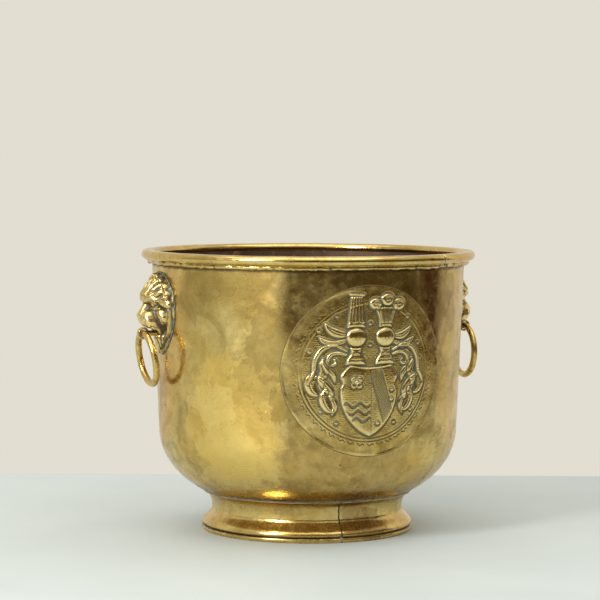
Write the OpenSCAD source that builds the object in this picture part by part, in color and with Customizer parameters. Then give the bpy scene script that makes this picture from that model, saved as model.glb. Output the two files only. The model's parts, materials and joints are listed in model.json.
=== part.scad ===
// Brass planter pot. A raised sheet bowl has a moulding folded over its edge, a spun foot
// ring soldered under it, a round embossed plaque on its front and, on each side, a stamped
// lion mask that holds a loose drop ring.
// Millimetres, +Z up, the origin at the centre of the foot's base, the plaque towards -Y.

/* [Bowl] */
// Outside radius of the wall where the rim moulding begins
bowl_r = 118.8; // [112:0.1:126]
// How much the radius shrinks for each millimetre down the wall
wall_taper = 0.0413; // [0.02:0.0001:0.06]
// Height where the straight wall runs into the rounded lower corner
corner_z = 76.6; // [72:0.1:82]
// Reach of the elliptical corner towards the axis
corner_reach = 80.3; // [74:0.1:86]
// Drop of the elliptical corner, from the wall down to the flat bottom
corner_drop = 56.3; // [52:0.1:58]
// Thickness of the bowl's sheet
sheet = 1.2; // [0.8:0.1:1.4]

/* [Rim] */
// Height of the rim bead's underside
rim_z = 205.9; // [200:0.1:215]
// Height of the rim bead
rim_h = 7.1; // [7:0.1:8]
// How far the rim bead stands out from the wall
rim_reach = 8.2; // [8:0.1:9]
// Height of the small roll under the rim bead
roll_h = 3.5; // [3:0.1:4]
// Thickness of the rim moulding's sheet
rim_sheet = 0.8; // [0.6:0.05:0.9]
// Radius of the iron wire inside the rim bead
rim_wire_r = 2.5; // [2:0.1:2.6]
// Turn of the moulding's butt joint from the front, to the right
rim_joint_turn = 31; // [-180:1:180]

/* [Foot] */
// Outside radius of the foot's top edge, under the bowl
foot_top_r = 79.8; // [77:0.1:82]
// Outside radius of the foot's neck
neck_r = 72.7; // [71:0.1:74]
// Height of the narrowest part of the neck
neck_z = 17.5; // [16:0.1:19]
// Outside radius of the base bead
base_r = 80.6; // [79:0.1:82]
// Radius of the base bead's section
bead_r = 2.1; // [2:0.1:2.3]
// Thickness of the foot's sheet
foot_sheet = 1.1; // [0.9:0.1:1.2]
// Turn of the foot's vertical joint from the front, to the right
foot_joint_turn = -2.8; // [-180:0.1:180]
// Width of the butt joints in the foot and in the rim
joint_gap = 0.7; // [0.5:0.1:1]

/* [Plaque] */
// Radius of the round plaque
plaque_r = 62.4; // [50:0.1:63]
// Height of the plaque's centre
plaque_z = 130.1; // [128:0.1:134]
// Turn of the plaque from the front, to the right
plaque_turn = 1.2; // [-5:0.1:5]
// Thickness of the plaque
plaque_t = 0.9; // [0.6:0.1:1.2]
// Height of the shield above the plaque
shield_relief = 1.4; // [0.8:0.1:2]
// Half width of the shield
shield_half_w = 24; // [20:0.5:26]

/* [Lion masks] */
// Width of a mask
mask_w = 48.6; // [46:0.1:50]
// Height of a mask's top edge
mask_top_z = 197; // [195:0.1:199]
// Height of a mask's bottom tip
mask_tip_z = 136.5; // [134:0.1:138]
// Thickness of a mask's sheet
mask_sheet = 1.2; // [1:0.1:1.4]
// How far the nose stands out from the wall
nose_reach = 19.6; // [18:0.1:21]
// How far the forehead stands out from the wall
brow_reach = 16.2; // [15:0.1:17]

/* [Drop rings] */
// Radius of a drop ring's centre line
ring_r = 19.25; // [18:0.05:21]
// Radius of a drop ring's wire
ring_wire_r = 2.5; // [2.2:0.1:2.6]
// Height of the eye that holds a drop ring
eye_z = 152; // [151:0.1:153]
// Distance of the eye's hole from the wall
eye_reach = 15; // [14.5:0.1:16]
// Radial clearance of the ring's wire in its eye
eye_clearance = 0.45; // [0.35:0.05:0.6]
// Width of the eye along its hole
eye_w = 4; // [3:0.1:5]
// Radius of the eye's shank
shank_r = 2.1; // [1.8:0.1:2.3]
// Inward lean of the left drop ring as it hangs, in degrees
left_lean = 10; // [0:1:12]
// Inward lean of the right drop ring as it hangs, in degrees
right_lean = 0; // [0:1:12]

/* [Hidden] */
$fn = 96;

BRASS = [0.72, 0.56, 0.27];
OLD_BRASS = [0.60, 0.45, 0.20];
SOLDER = [0.55, 0.57, 0.55];
IRON = [0.30, 0.29, 0.28];

LEFT = -1;
RIGHT = 1;
fit_gap = 0.05;                       // between soldered or clamped faces
half_turn = 180;
past = 1;                             // how far a cutting shape runs past what it cuts
deep = 5;                             // further reach of a cut that has to pass a whole sheet

// Bowl: the corner is a quarter of an ellipse between the wall and the flat bottom.
corner_steps = 20;
corner_c = wall_r(corner_z) - corner_reach;
bottom_z = corner_z - corner_drop;
wall_top_gap = 1.4;                   // room over the wall's edge, inside the rim bead
wall_top_z = rim_z + rim_h - rim_sheet - wall_top_gap;

function wall_r(z) = bowl_r - (rim_z - z) * wall_taper;
function corner_r(z) = corner_c + corner_reach * sqrt(1 - pow((corner_z - z) / corner_drop, 2));
function bowl_out_r(z) = z >= corner_z ? wall_r(z) : corner_r(z);
function under_z(r) = corner_z - corner_drop * sqrt(1 - pow((r - corner_c) / corner_reach, 2));
function corner_point(i, inset) = [
    corner_c + (corner_reach - inset) * sin(90 * i / corner_steps),
    corner_z - (corner_drop - inset) * cos(90 * i / corner_steps)
];

// Rim: a hollow bead with round sides that closes over the wall's edge and the wire.
rim_end_r = rim_h / 2;
rim_out_r = wall_r(rim_z) + rim_reach;
rim_slack = 0.3;                      // between the wall's inner face and the folded bead
wire_gap = 0.4;                       // between the wall's outer face and the wire
rim_in_r = wall_r(rim_z) - sheet - rim_sheet - rim_slack;
wire_c_r = wall_r(wall_top_z) + rim_wire_r + wire_gap;
roll_r = roll_h / 2;
roll_out = 1.5;                       // from the wall to the roll's centre
roll_c_r = wall_r(rim_z) + roll_out;
roll_lap = 0.3;                       // how far the roll runs up into the bead

// Foot: a bead at the base, a groove, an ogee up to the neck and a flare up to the bowl.
base_cut = 0.2;                       // flat worn on the bead where the pot stands
bead_c = [base_r - bead_r, bead_r - base_cut];
groove_top_z = 4.9;
groove_depth = 1.7;
ogee_set_back = 0.4;
groove_r = base_r - groove_depth;
ogee_top_r = base_r - ogee_set_back;
ogee_end_z = 16.5;
ogee_steps = 12;
flare_steps = 10;
flare_end = 65;                       // degrees of the flare's inner quarter that are kept
flare_thinning = 0.6;                 // share of the sheet's thickness that the flare keeps in height
solder_gap = 0.4;                     // height of the gap between the foot's lip and the bowl
lip_z = under_z(foot_top_r) - solder_gap;
lip_h = 1;
flare_drop = lip_z - lip_h - neck_z;
foot_wire_r = bead_r - foot_sheet;
blob_r = 1.1;                         // solder on the base bead at the joint
blob_drop = 0.6;                      // from the groove's top to the blob's top
seam_recess = 0.4;                    // how far the solder in the joint lies behind the foot's face
seam_stop = 2;                        // from the foot's lip to the top of that solder
fillet_in = 3;                        // reach of the bowl's solder under and outside the foot's lip
fillet_out = 0.9;
fillet_foot = 0.6;
fillet_lift = 0.1;                    // how far the fillet's lower corners lie below their neighbours
fillet_sag = 0.2;
fillet_steps = 5;

function ogee_point(i, inset) = [
    neck_r - inset + (ogee_top_r - neck_r) * (1 + cos(half_turn * i / ogee_steps)) / 2,
    groove_top_z + (ogee_end_z - groove_top_z) * i / ogee_steps
];
function flare_point(angle, grow) = [
    foot_top_r - (foot_top_r - neck_r + grow) * cos(angle),
    neck_z + (flare_drop + grow * flare_thinning) * sin(angle)
];

// Plaque: its band follows the bowl in steps below the straight wall.
band_step = 3;
shield_rise = 4;                      // from the plaque's centre up to the shield's top edge
shield_drop_share = 2.6;              // the shield's height, in half widths

// Mask: a round top and two arcs that meet in a tip.
mask_r = mask_w / 2;
mask_c_z = mask_top_z - mask_r;
tip_drop = mask_c_z - mask_tip_z;
jowl_r = (tip_drop * tip_drop + mask_r * mask_r) / mask_w;
plate_swell = 0.3;                    // how much the stamped sheet stands off the wall
plate_t = mask_sheet + plate_swell;
face_rise = 15;                       // from the eye up to the middle of the face
face_x = wall_r(eye_z + face_rise);   // wall's radius behind the middle of the face
muzzle_r = 9;
muzzle_step = 1.5;                    // how much narrower each boss is at its tip
muzzle_z = 164.6;
brow_r = 16;
brow_step = 4.5;
brow_z = 176.5;
cheek_r = 8.5;
cheek_step = 3;
cheek_z = 165;
cheek_y = 12;
cheek_reach = 8.5;
boss_root = 6;                        // how far a boss starts inside the wall's face
boss_step = 0.7;                      // share of a boss's reach that has its full width
curl_r = 4.2;
curl_step = 1.2;
curl_reach = 5;
curl_inset = 0.8;                     // from the mask's edge to the curls
curl_ring_r = mask_r - curl_r - curl_inset;
curl_turn = 29;                       // degrees between neighbouring curls
curls_each_way = 3;
solder_w = 0.9;
solder_t = 1;
band_past = 2;                        // how far the mask's band runs past its outline

// Eye, fixings and ring.
eye_x = wall_r(eye_z) + eye_reach;
eye_hole_r = ring_wire_r + eye_clearance;
eye_wall = 1.6;                       // metal round the eye's hole
eye_r = eye_hole_r + eye_wall;
eye_room = 0.3;                       // clearance round the eye and beside it
eye_side_room = 0.8;
shank_room = 0.2;                     // clearance of the shank in the wall and the mask
shank_sink = 0.5;                     // how far the shank stops short of the eye's hole
shank_past = 0.9;                     // how far the shank's end stands out of the nut
washer_gap = 0.5;                     // between the curved wall and the flat washer
washer_r = 6;
washer_t = 1;
nut_w = 7.5;
nut_h = 3.2;
washer_x = wall_r(eye_z) - sheet - washer_gap - washer_t;
nut_x = washer_x - nut_h;
shank_end_x = nut_x - shank_past;
shank_top_x = eye_x - eye_hole_r - shank_sink;

// ---------- shared shapes ----------

// A skin on the outside of the bowl, between two heights
module wall_band(gap, thick, heights) {
    last = len(heights) - 1;
    rotate_extrude()
        polygon(concat(
            [for (z = heights) [bowl_out_r(z) + gap, z]],
            [for (i = [last : -1 : 0]) [bowl_out_r(heights[i]) + gap + thick, heights[i]]]
        ));
}

// Everything inside the bowl's outer face, between two heights of the straight wall
module inside_wall(gap, z_lo, z_hi) {
    rotate_extrude()
        polygon([
            [0, z_lo], [wall_r(z_lo) + gap, z_lo], [wall_r(z_hi) + gap, z_hi], [0, z_hi]
        ]);
}

// Draws its children, made for the +X side, on the side that is asked for
module on_side(side) {
    mirror([side == LEFT ? 1 : 0, 0, 0])
        children();
}

// A rod along X from one radius to another, at the height of the eye
module rod_x(r, from_x, to_x) {
    translate([from_x, 0, eye_z])
        rotate([0, 90, 0])
            cylinder(r = r, h = to_x - from_x);
}

// A rod along Y through the eye
module rod_y(r, w) {
    translate([eye_x, w / 2, eye_z])
        rotate([90, 0, 0])
            cylinder(r = r, h = w);
}

// Turns an outline in width and height into a bar along +X
module bar_x(length) {
    rotate([90, 0, 90])
        linear_extrude(length)
            children();
}

// ---------- bowl ----------

module bowl_section() {
    polygon(concat(
        [[0, bottom_z]],
        [for (i = [0 : corner_steps]) corner_point(i, 0)],
        [[wall_r(wall_top_z), wall_top_z], [wall_r(wall_top_z) - sheet, wall_top_z]],
        [for (i = [corner_steps : -1 : 0]) corner_point(i, sheet)],
        [[0, bottom_z + sheet]]
    ));
}

module bowl() {
    color(BRASS)
        difference() {
            rotate_extrude()
                bowl_section();
            for (side = [LEFT, RIGHT])
                on_side(side)
                    rod_x(shank_r + shank_room, shank_end_x, eye_x);
        }
}

// ---------- rim ----------

// The bead's section, drawn smaller by inset for the space inside it
module bead_section(inset) {
    r = rim_end_r - inset;
    z = rim_z + rim_end_r;
    in_c = rim_in_r + rim_end_r;
    out_c = rim_out_r - rim_end_r;
    for (c = [in_c, out_c])
        translate([c, z])
            circle(r = r);
    translate([in_c, z - r])
        square([out_c - in_c, 2 * r]);
}

module rim_moulding() {
    slot_in_r = wall_r(rim_z) - sheet - fit_gap * 2;
    color(BRASS)
        difference() {
            rotate_extrude() {
                difference() {
                    bead_section(0);
                    bead_section(rim_sheet);
                    translate([slot_in_r, rim_z - past])
                        square([sheet + fit_gap * 6, rim_h / 2]);
                }
                difference() {
                    translate([roll_c_r, rim_z - roll_r + roll_lap])
                        circle(r = roll_r);
                    translate([roll_c_r - 2 * roll_r, rim_z - roll_h - past])
                        square([2 * roll_r - roll_c_r + wall_r(rim_z) + 2 * fit_gap, roll_h + 2 * past]);
                }
            }
            rotate(rim_joint_turn)
                translate([-joint_gap / 2, -rim_out_r - past, rim_z - roll_h - past])
                    cube([joint_gap, rim_reach + deep, rim_h + roll_h + 2 * past]);
        }
}

module rim_wire() {
    color(IRON)
        rotate_extrude()
            translate([wire_c_r, rim_z + rim_end_r])
                circle(r = rim_wire_r);
}

// ---------- foot ----------

module foot_section() {
    difference() {
        union() {
            translate(bead_c)
                circle(r = bead_r);
            translate([groove_r - foot_sheet, bead_c[1]])
                square([foot_sheet, groove_top_z - bead_c[1] + foot_sheet]);
            polygon(concat(
                [for (i = [0 : ogee_steps]) ogee_point(i, 0)],
                [for (i = [0 : flare_steps]) flare_point(90 * i / flare_steps, 0)],
                [[foot_top_r, lip_z]],
                [for (i = [flare_steps : -1 : 0]) flare_point(flare_end * i / flare_steps, foot_sheet)],
                [for (i = [ogee_steps : -1 : 1]) ogee_point(i, foot_sheet)],
                [[groove_r - foot_sheet, groove_top_z + foot_sheet]],
                [[groove_r - foot_sheet, groove_top_z]]
            ));
        }
        translate(bead_c)
            circle(r = foot_wire_r);
        translate([0, -bead_r])
            square([base_r + past, bead_r]);
    }
}

// Turns its children from the front to the foot's vertical joint
module at_foot_joint() {
    rotate(foot_joint_turn)
        children();
}

module foot_ring() {
    color(BRASS)
        difference() {
            rotate_extrude()
                foot_section();
            at_foot_joint()
                translate([-joint_gap / 2, -base_r - past, -past])
                    cube([joint_gap, base_r - neck_r + 2 * deep, lip_z + 2 * past]);
            at_foot_joint()
                translate([0, fit_gap - base_r + blob_r, -past])
                    cylinder(r = blob_r + 2 * fit_gap, h = groove_top_z - blob_drop + 2 * fit_gap + past);
        }
}

module foot_wire() {
    color(IRON)
        rotate_extrude()
            translate(bead_c)
                circle(r = foot_wire_r - fit_gap);
}

module foot_solder() {
    from_r = foot_top_r - fillet_in;
    to_r = foot_top_r + fillet_out;
    function solder_r(i) = from_r + (to_r - from_r) * i / fillet_steps;
    color(SOLDER)
        rotate_extrude()
            polygon(concat(
                [for (i = [0 : fillet_steps]) [solder_r(i), under_z(solder_r(i)) - fit_gap]],
                [[foot_top_r + fillet_foot, lip_z], [foot_top_r + fit_gap, lip_z - fillet_lift]],
                [[foot_top_r, lip_z + fit_gap]],
                [[from_r, under_z(from_r) - fillet_sag]]
            ));
}

module foot_seam_solder() {
    color(SOLDER)
        at_foot_joint() {
            rotate([90, 0, -90])
                linear_extrude(joint_gap - 2 * fit_gap, center = true)
                    translate([-seam_recess, 0])
                        intersection() {
                            foot_section();
                            translate([0, groove_top_z])
                                square([base_r + past, lip_z - groove_top_z - seam_stop]);
                        }
            difference() {
                translate([0, fit_gap - base_r + blob_r, base_cut])
                    cylinder(r = blob_r, h = groove_top_z - base_cut - blob_drop);
                rotate_extrude()
                    translate(bead_c)
                        circle(r = foot_wire_r + fit_gap);
            }
        }
}

// ---------- plaque ----------

// A shield with a flat top and two arcs that meet in a point, centred on its top edge
module shield_outline() {
    drop = shield_half_w * shield_drop_share;
    arc_r = (drop * drop + shield_half_w * shield_half_w) / (2 * shield_half_w);
    intersection() {
        translate([arc_r - shield_half_w, 0])
            circle(r = arc_r);
        translate([shield_half_w - arc_r, 0])
            circle(r = arc_r);
        translate([-shield_half_w, -drop])
            square([2 * shield_half_w, drop]);
    }
}

module crest_plaque() {
    heights = [for (z = [plaque_z - plaque_r - past : band_step : corner_z]) z];
    color(OLD_BRASS)
        rotate(plaque_turn - 90) {
            intersection() {
                wall_band(fit_gap, plaque_t, concat(heights, [corner_z, plaque_z + plaque_r + past]));
                translate([0, 0, plaque_z])
                    rotate([0, 90, 0])
                        cylinder(r = plaque_r, h = rim_out_r);
            }
            intersection() {
                wall_band(fit_gap, plaque_t + shield_relief, [corner_z, plaque_z + plaque_r]);
                translate([0, 0, plaque_z + shield_rise])
                    bar_x(rim_out_r)
                        shield_outline();
            }
        }
}

// ---------- lion masks ----------

module mask_outline(grow) {
    translate([0, mask_c_z])
        circle(r = mask_r + grow);
    intersection() {
        translate([jowl_r - mask_r, mask_c_z])
            circle(r = jowl_r + grow);
        translate([mask_r - jowl_r, mask_c_z])
            circle(r = jowl_r + grow);
        translate([-mask_w, mask_c_z - mask_w])
            square([2 * mask_w, mask_w]);
    }
}

// A stepped boss that stands out from the wall, drawn smaller by inset for the hollow in it
module boss(at, root_r, tip_r, reach, inset) {
    step = boss_root + reach * boss_step;
    translate([face_x - boss_root, at[0], at[1]])
        rotate([0, 90, 0]) {
            cylinder(r = root_r - inset, h = step - inset);
            cylinder(r = tip_r - inset, h = boss_root + reach - inset);
        }
}

module face_forms(inset) {
    boss([0, brow_z], brow_r, brow_r - brow_step, brow_reach, inset);
    boss([0, muzzle_z], muzzle_r, muzzle_r - muzzle_step, nose_reach, inset);
    for (way = [LEFT, RIGHT])
        boss([way * cheek_y, cheek_z], cheek_r, cheek_r - cheek_step, cheek_reach, inset);
}

module mane_curls() {
    for (i = [-curls_each_way : curls_each_way])
        boss(
            [sin(i * curl_turn) * curl_ring_r, mask_c_z + cos(i * curl_turn) * curl_ring_r],
            curl_r, curl_r - curl_step, curl_reach, 0
        );
}

module lion_mask(side) {
    heights = [mask_tip_z - band_past, mask_top_z + band_past];
    color(OLD_BRASS)
        on_side(side)
            difference() {
                union() {
                    intersection() {
                        wall_band(-past, plate_t + past, heights);
                        bar_x(rim_out_r)
                            mask_outline(0);
                    }
                    face_forms(0);
                    mane_curls();
                }
                inside_wall(fit_gap, heights[0] - past, heights[1] + past);
                face_forms(mask_sheet);
                rod_x(shank_r + shank_room, face_x - deep, eye_x);
                rod_y(eye_r + eye_room, eye_w + eye_side_room);
            }
}

module mask_solder(side) {
    color(SOLDER)
        on_side(side)
            intersection() {
                wall_band(fit_gap, solder_t, [mask_tip_z - band_past - past, mask_top_z + band_past + past]);
                bar_x(rim_out_r)
                    difference() {
                        mask_outline(solder_w);
                        mask_outline(fit_gap);
                    }
            }
}

// ---------- eyes, fixings and rings ----------

module ring_eye(side) {
    color(BRASS)
        on_side(side)
            difference() {
                union() {
                    rod_y(eye_r, eye_w);
                    rod_x(shank_r, shank_end_x, shank_top_x);
                }
                rod_y(eye_hole_r, eye_w + 2 * past);
            }
}

module washer(side) {
    color(OLD_BRASS)
        on_side(side)
            difference() {
                rod_x(washer_r, washer_x, washer_x + washer_t);
                rod_x(shank_r + fit_gap, washer_x - past, washer_x + washer_t + past);
            }
}

module nut(side) {
    color(OLD_BRASS)
        on_side(side)
            difference() {
                translate([nut_x, -nut_w / 2, eye_z - nut_w / 2])
                    cube([nut_h, nut_w, nut_w]);
                rod_x(shank_r + fit_gap, nut_x - past, nut_x + nut_h + past);
            }
}

module drop_ring(side, lean) {
    color(BRASS)
        on_side(side)
            translate([eye_x, 0, eye_z])
                rotate([0, lean, 0])
                    translate([0, 0, -ring_r])
                        rotate([0, 90, 0])
                            rotate_extrude()
                                translate([ring_r, 0])
                                    circle(r = ring_wire_r);
}

// ---------- parts ----------

bowl();
rim_moulding();
rim_wire();
foot_ring();
foot_wire();
foot_solder();
foot_seam_solder();
crest_plaque();
lion_mask(LEFT);  // lion_mask_left
lion_mask(RIGHT);  // lion_mask_right
mask_solder(LEFT);  // mask_solder_left
mask_solder(RIGHT);  // mask_solder_right
ring_eye(LEFT);  // ring_eye_left
ring_eye(RIGHT);  // ring_eye_right
washer(LEFT);  // washer_left
washer(RIGHT);  // washer_right
nut(LEFT);  // nut_left
nut(RIGHT);  // nut_right
drop_ring(LEFT, left_lean);  // drop_ring_left
drop_ring(RIGHT, right_lean);  // drop_ring_right
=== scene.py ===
"""Looks of the brass planter pot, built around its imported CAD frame.

Lengths are millimetres in the row frame until add_piece() turns them into metres: the origin is the
centre of the foot's base, +Z is up and the plaque faces -Y. A turn is measured from -Y towards +X.
"""
import json
import math

import bmesh
import bpy
import numpy as np
from mathutils import Matrix, Vector


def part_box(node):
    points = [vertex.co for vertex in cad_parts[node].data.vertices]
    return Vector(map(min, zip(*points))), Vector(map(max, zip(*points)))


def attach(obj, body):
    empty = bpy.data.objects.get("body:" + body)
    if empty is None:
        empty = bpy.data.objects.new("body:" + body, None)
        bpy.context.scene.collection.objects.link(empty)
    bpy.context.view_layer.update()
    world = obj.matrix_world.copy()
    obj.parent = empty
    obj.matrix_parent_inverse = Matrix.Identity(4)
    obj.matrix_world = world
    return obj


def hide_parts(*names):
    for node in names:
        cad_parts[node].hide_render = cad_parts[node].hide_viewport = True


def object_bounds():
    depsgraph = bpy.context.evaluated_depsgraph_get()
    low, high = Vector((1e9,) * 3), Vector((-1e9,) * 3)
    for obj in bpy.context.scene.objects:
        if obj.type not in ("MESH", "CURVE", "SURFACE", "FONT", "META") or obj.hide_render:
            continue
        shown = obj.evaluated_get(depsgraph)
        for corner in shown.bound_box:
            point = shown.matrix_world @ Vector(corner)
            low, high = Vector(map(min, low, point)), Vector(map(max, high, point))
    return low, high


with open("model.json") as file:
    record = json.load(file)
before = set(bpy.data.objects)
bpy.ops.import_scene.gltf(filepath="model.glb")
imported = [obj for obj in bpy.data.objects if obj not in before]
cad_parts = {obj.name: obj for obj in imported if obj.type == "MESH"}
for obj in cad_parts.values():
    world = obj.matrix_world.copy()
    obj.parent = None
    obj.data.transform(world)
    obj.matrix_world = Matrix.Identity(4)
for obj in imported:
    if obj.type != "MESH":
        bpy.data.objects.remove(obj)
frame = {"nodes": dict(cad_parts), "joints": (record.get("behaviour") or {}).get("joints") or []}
cad_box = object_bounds()

MM = 0.001
FULL = 2 * math.pi


def box_mm(node):
    """Lowest and highest corner of a CAD node, in millimetres."""
    lo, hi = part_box(node)
    return np.array(lo) / MM, np.array(hi) / MM


# ---------- sizes, from the frame ----------

bowl_lo, bowl_hi = box_mm("bowl")
rim_lo, rim_hi = box_mm("rim_moulding")
foot_hi = box_mm("foot_ring")[1]
plaque_lo, plaque_hi = box_mm("crest_plaque")
mask_lo, mask_hi = box_mm("lion_mask_right")
eye_lo, eye_hi = box_mm("ring_eye_right")
washer_lo, washer_hi = box_mm("washer_right")
nut_lo, nut_hi = box_mm("nut_right")
hinge = {j["child"]: np.array(j["pos_m"]) / MM for j in frame["joints"]}

WALL_TAPER = 0.0413          # how much the radius grows for each millimetre of height
SHEET = 1.2                  # bowl's sheet
CORNER_Z = 76.6              # where the wall runs into the rounded corner
CORNER_REACH = 80.3
CORNER_DROP = CORNER_Z - bowl_lo[2]

RIM_H = 7.1                  # rim bead
RIM_WIDTH = 10.5
ROLL_R = 1.75                # small roll under the bead
ROLL_LAP = 0.3
RIM_JOINT = math.radians(31)
FOOT_JOINT = math.radians(-2.8)
JOINT_GAP = 1.0

PLAQUE_R = (plaque_hi[2] - plaque_lo[2]) / 2
PLAQUE_Z = (plaque_hi[2] + plaque_lo[2]) / 2
PLAQUE_TURN = math.radians(1.2)
PLAQUE_T = 0.9

RING_R = 19.25
RING_WIRE_R = 2.5
RING_LEAN = {"left": math.radians(10), "right": 0.0}
EYE_CLEARANCE = 0.45         # of the ring's wire in its eye
RIM_SLOT = 0.42              # half width of the rim's butt joint, where it has fallen to a third
FIELD_R = 48.5               # the plaque's sunken field


def wall_r(z):
    """Outside radius of the bowl's straight wall."""
    return bowl_hi[0] - (bowl_hi[2] - z) * WALL_TAPER


def under_z(r):
    """Height of the bowl's rounded underside at a radius."""
    reach = np.clip((r - wall_r(CORNER_Z) + CORNER_REACH) / CORNER_REACH, 0, 1)
    return CORNER_Z - CORNER_DROP * np.sqrt(1 - reach ** 2)


# ---------- mesh tools ----------

def waves(points, length, seed):
    """A smooth random field of about unit size whose bumps are about length apart."""
    count = 24
    rng = np.random.default_rng(seed)
    ways = rng.normal(size=(count, 3))
    ways /= np.linalg.norm(ways, axis=1)[:, None]
    rates = FULL / length * rng.uniform(0.6, 1.4, count)
    phases = rng.uniform(0, FULL, count)
    total = np.zeros(points.shape[:-1])
    for way, rate, phase in zip(ways, rates, phases):
        total += np.sin(points @ way * rate + phase)
    return total * math.sqrt(2 / count)


def smooth(x, lo, hi):
    """0 at lo, 1 at hi and an even S between them; lo may be the larger."""
    t = np.clip((x - lo) / (hi - lo), 0, 1)
    return t * t * (3 - 2 * t)


def arc(centre, radius, start, stop, steps):
    """Points of an arc from start to stop degrees."""
    angle = np.radians(np.linspace(start, stop, steps))
    return np.stack([centre[0] + radius * np.cos(angle), centre[1] + radius * np.sin(angle)], 1)


def along(points, step, closed=False):
    """The same line with its points evenly spaced, about step apart."""
    points = np.asarray(points, float)
    if closed:
        points = np.vstack([points, points[:1]])
    length = np.concatenate([[0], np.cumsum(np.linalg.norm(np.diff(points, axis=0), axis=1))])
    count = max(2, int(round(length[-1] / step)) + 1)
    at = np.linspace(0, length[-1], count)
    line = np.stack([np.interp(at, length, points[:, i]) for i in range(points.shape[1])], 1)
    return line[:-1] if closed else line


def curve(points, steps=10):
    """A smooth line through the points (Catmull-Rom)."""
    p = np.asarray(points, float)
    p = np.vstack([2 * p[0] - p[1], p, 2 * p[-1] - p[-2]])
    t = np.linspace(0, 1, steps, endpoint=False)[:, None]
    spans = []
    for a, b, c, d in zip(p[:-3], p[1:-2], p[2:-1], p[3:]):
        spans.append(0.5 * (2 * b + (c - a) * t + (2 * a - 5 * b + 4 * c - d) * t ** 2
                            + (3 * b - a - 3 * c + d) * t ** 3))
    return np.vstack(spans + [p[-2:-1]])


def line_normals(line):
    """Unit normals on the right-hand side of a line in radius and height."""
    way = np.gradient(line, axis=0)
    way /= np.linalg.norm(way, axis=1)[:, None]
    return np.stack([way[:, 1], -way[:, 0]], 1)


def turned(radius, z, turn):
    """Points at a radius, height and turn round the pot's axis."""
    radius, z, turn = np.broadcast_arrays(radius, z, turn)
    return np.stack([radius * np.sin(turn), -radius * np.cos(turn), z], -1)


def grid_faces(rows, cols, wrap_rows=False, wrap_cols=False):
    index = np.arange(rows * cols).reshape(rows, cols)
    if wrap_rows:
        index = np.vstack([index, index[:1]])
    if wrap_cols:
        index = np.hstack([index, index[:, :1]])
    corners = [index[:-1, :-1], index[:-1, 1:], index[1:, 1:], index[1:, :-1]]
    return np.stack(corners, -1).reshape(-1, 4).tolist()


def tube(line, radius, sides=12, closed=True, cap_ends=False):
    """Points and faces of a tube round a 3-D line; radius is one number per point or per vertex."""
    line = np.asarray(line, float)
    way = np.roll(line, -1, 0) - np.roll(line, 1, 0) if closed else np.gradient(line, axis=0)
    way /= np.linalg.norm(way, axis=1)[:, None]
    side = np.zeros_like(line)
    guide = np.array([0.3, 0.2, 0.93]) if abs(way[0][2]) < 0.9 else np.array([1.0, 0, 0])
    for i, w in enumerate(way):
        guide = guide - (guide @ w) * w
        guide /= np.linalg.norm(guide)
        side[i] = guide
    if closed:
        last = side[-1] - (side[-1] @ way[0]) * way[0]
        last /= np.linalg.norm(last)
        twist = math.atan2(np.cross(last, side[0]) @ way[0], last @ side[0])
    else:
        twist = 0.0
    over = np.cross(way, side)
    angle = np.linspace(0, FULL, sides, endpoint=False)[None, :]
    angle = angle + twist * np.linspace(0, 1, len(line))[:, None]
    radius = np.asarray(radius, float)
    radius = radius if radius.ndim == 2 else np.broadcast_to(radius.reshape(-1, 1), angle.shape)
    points = (line[:, None] + radius[..., None] * (np.cos(angle)[..., None] * side[:, None]
                                                  + np.sin(angle)[..., None] * over[:, None]))
    faces = grid_faces(len(line), sides, wrap_rows=closed, wrap_cols=True)
    if cap_ends:
        faces += [list(range(sides)), [(len(line) - 1) * sides + i for i in range(sides)]]
    return points.reshape(-1, 3), faces


def add_piece(name, parts, body, nodes, material, fields=None, sharp=50):
    """Joins (points, faces) parts into one closed mesh that rides on a body and stands for CAD nodes."""
    points, faces, first = [], [], 0
    for part_points, part_faces in parts:
        points.append(part_points)
        faces += [[first + i for i in f] for f in part_faces]
        first += len(part_points)
    mesh = bpy.data.meshes.new(name)
    mesh.from_pydata((np.vstack(points) * MM).tolist(), [], faces)
    for key, values in (fields or {}).items():
        mesh.attributes.new(key, "FLOAT", "POINT").data.foreach_set("value", np.ravel(values))
    bm = bmesh.new()
    bm.from_mesh(mesh)
    bmesh.ops.remove_doubles(bm, verts=bm.verts, dist=1e-7)
    bmesh.ops.recalc_face_normals(bm, faces=bm.faces)
    bm.to_mesh(mesh)
    bm.free()
    mesh.polygons.foreach_set("use_smooth", [True] * len(mesh.polygons))
    mesh.set_sharp_from_angle(angle=math.radians(sharp))
    mesh.materials.append(material)
    obj = bpy.data.objects.new(name, mesh)
    bpy.context.scene.collection.objects.link(obj)
    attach(obj, body)
    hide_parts(*nodes)


# ---------- material tools ----------

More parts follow.
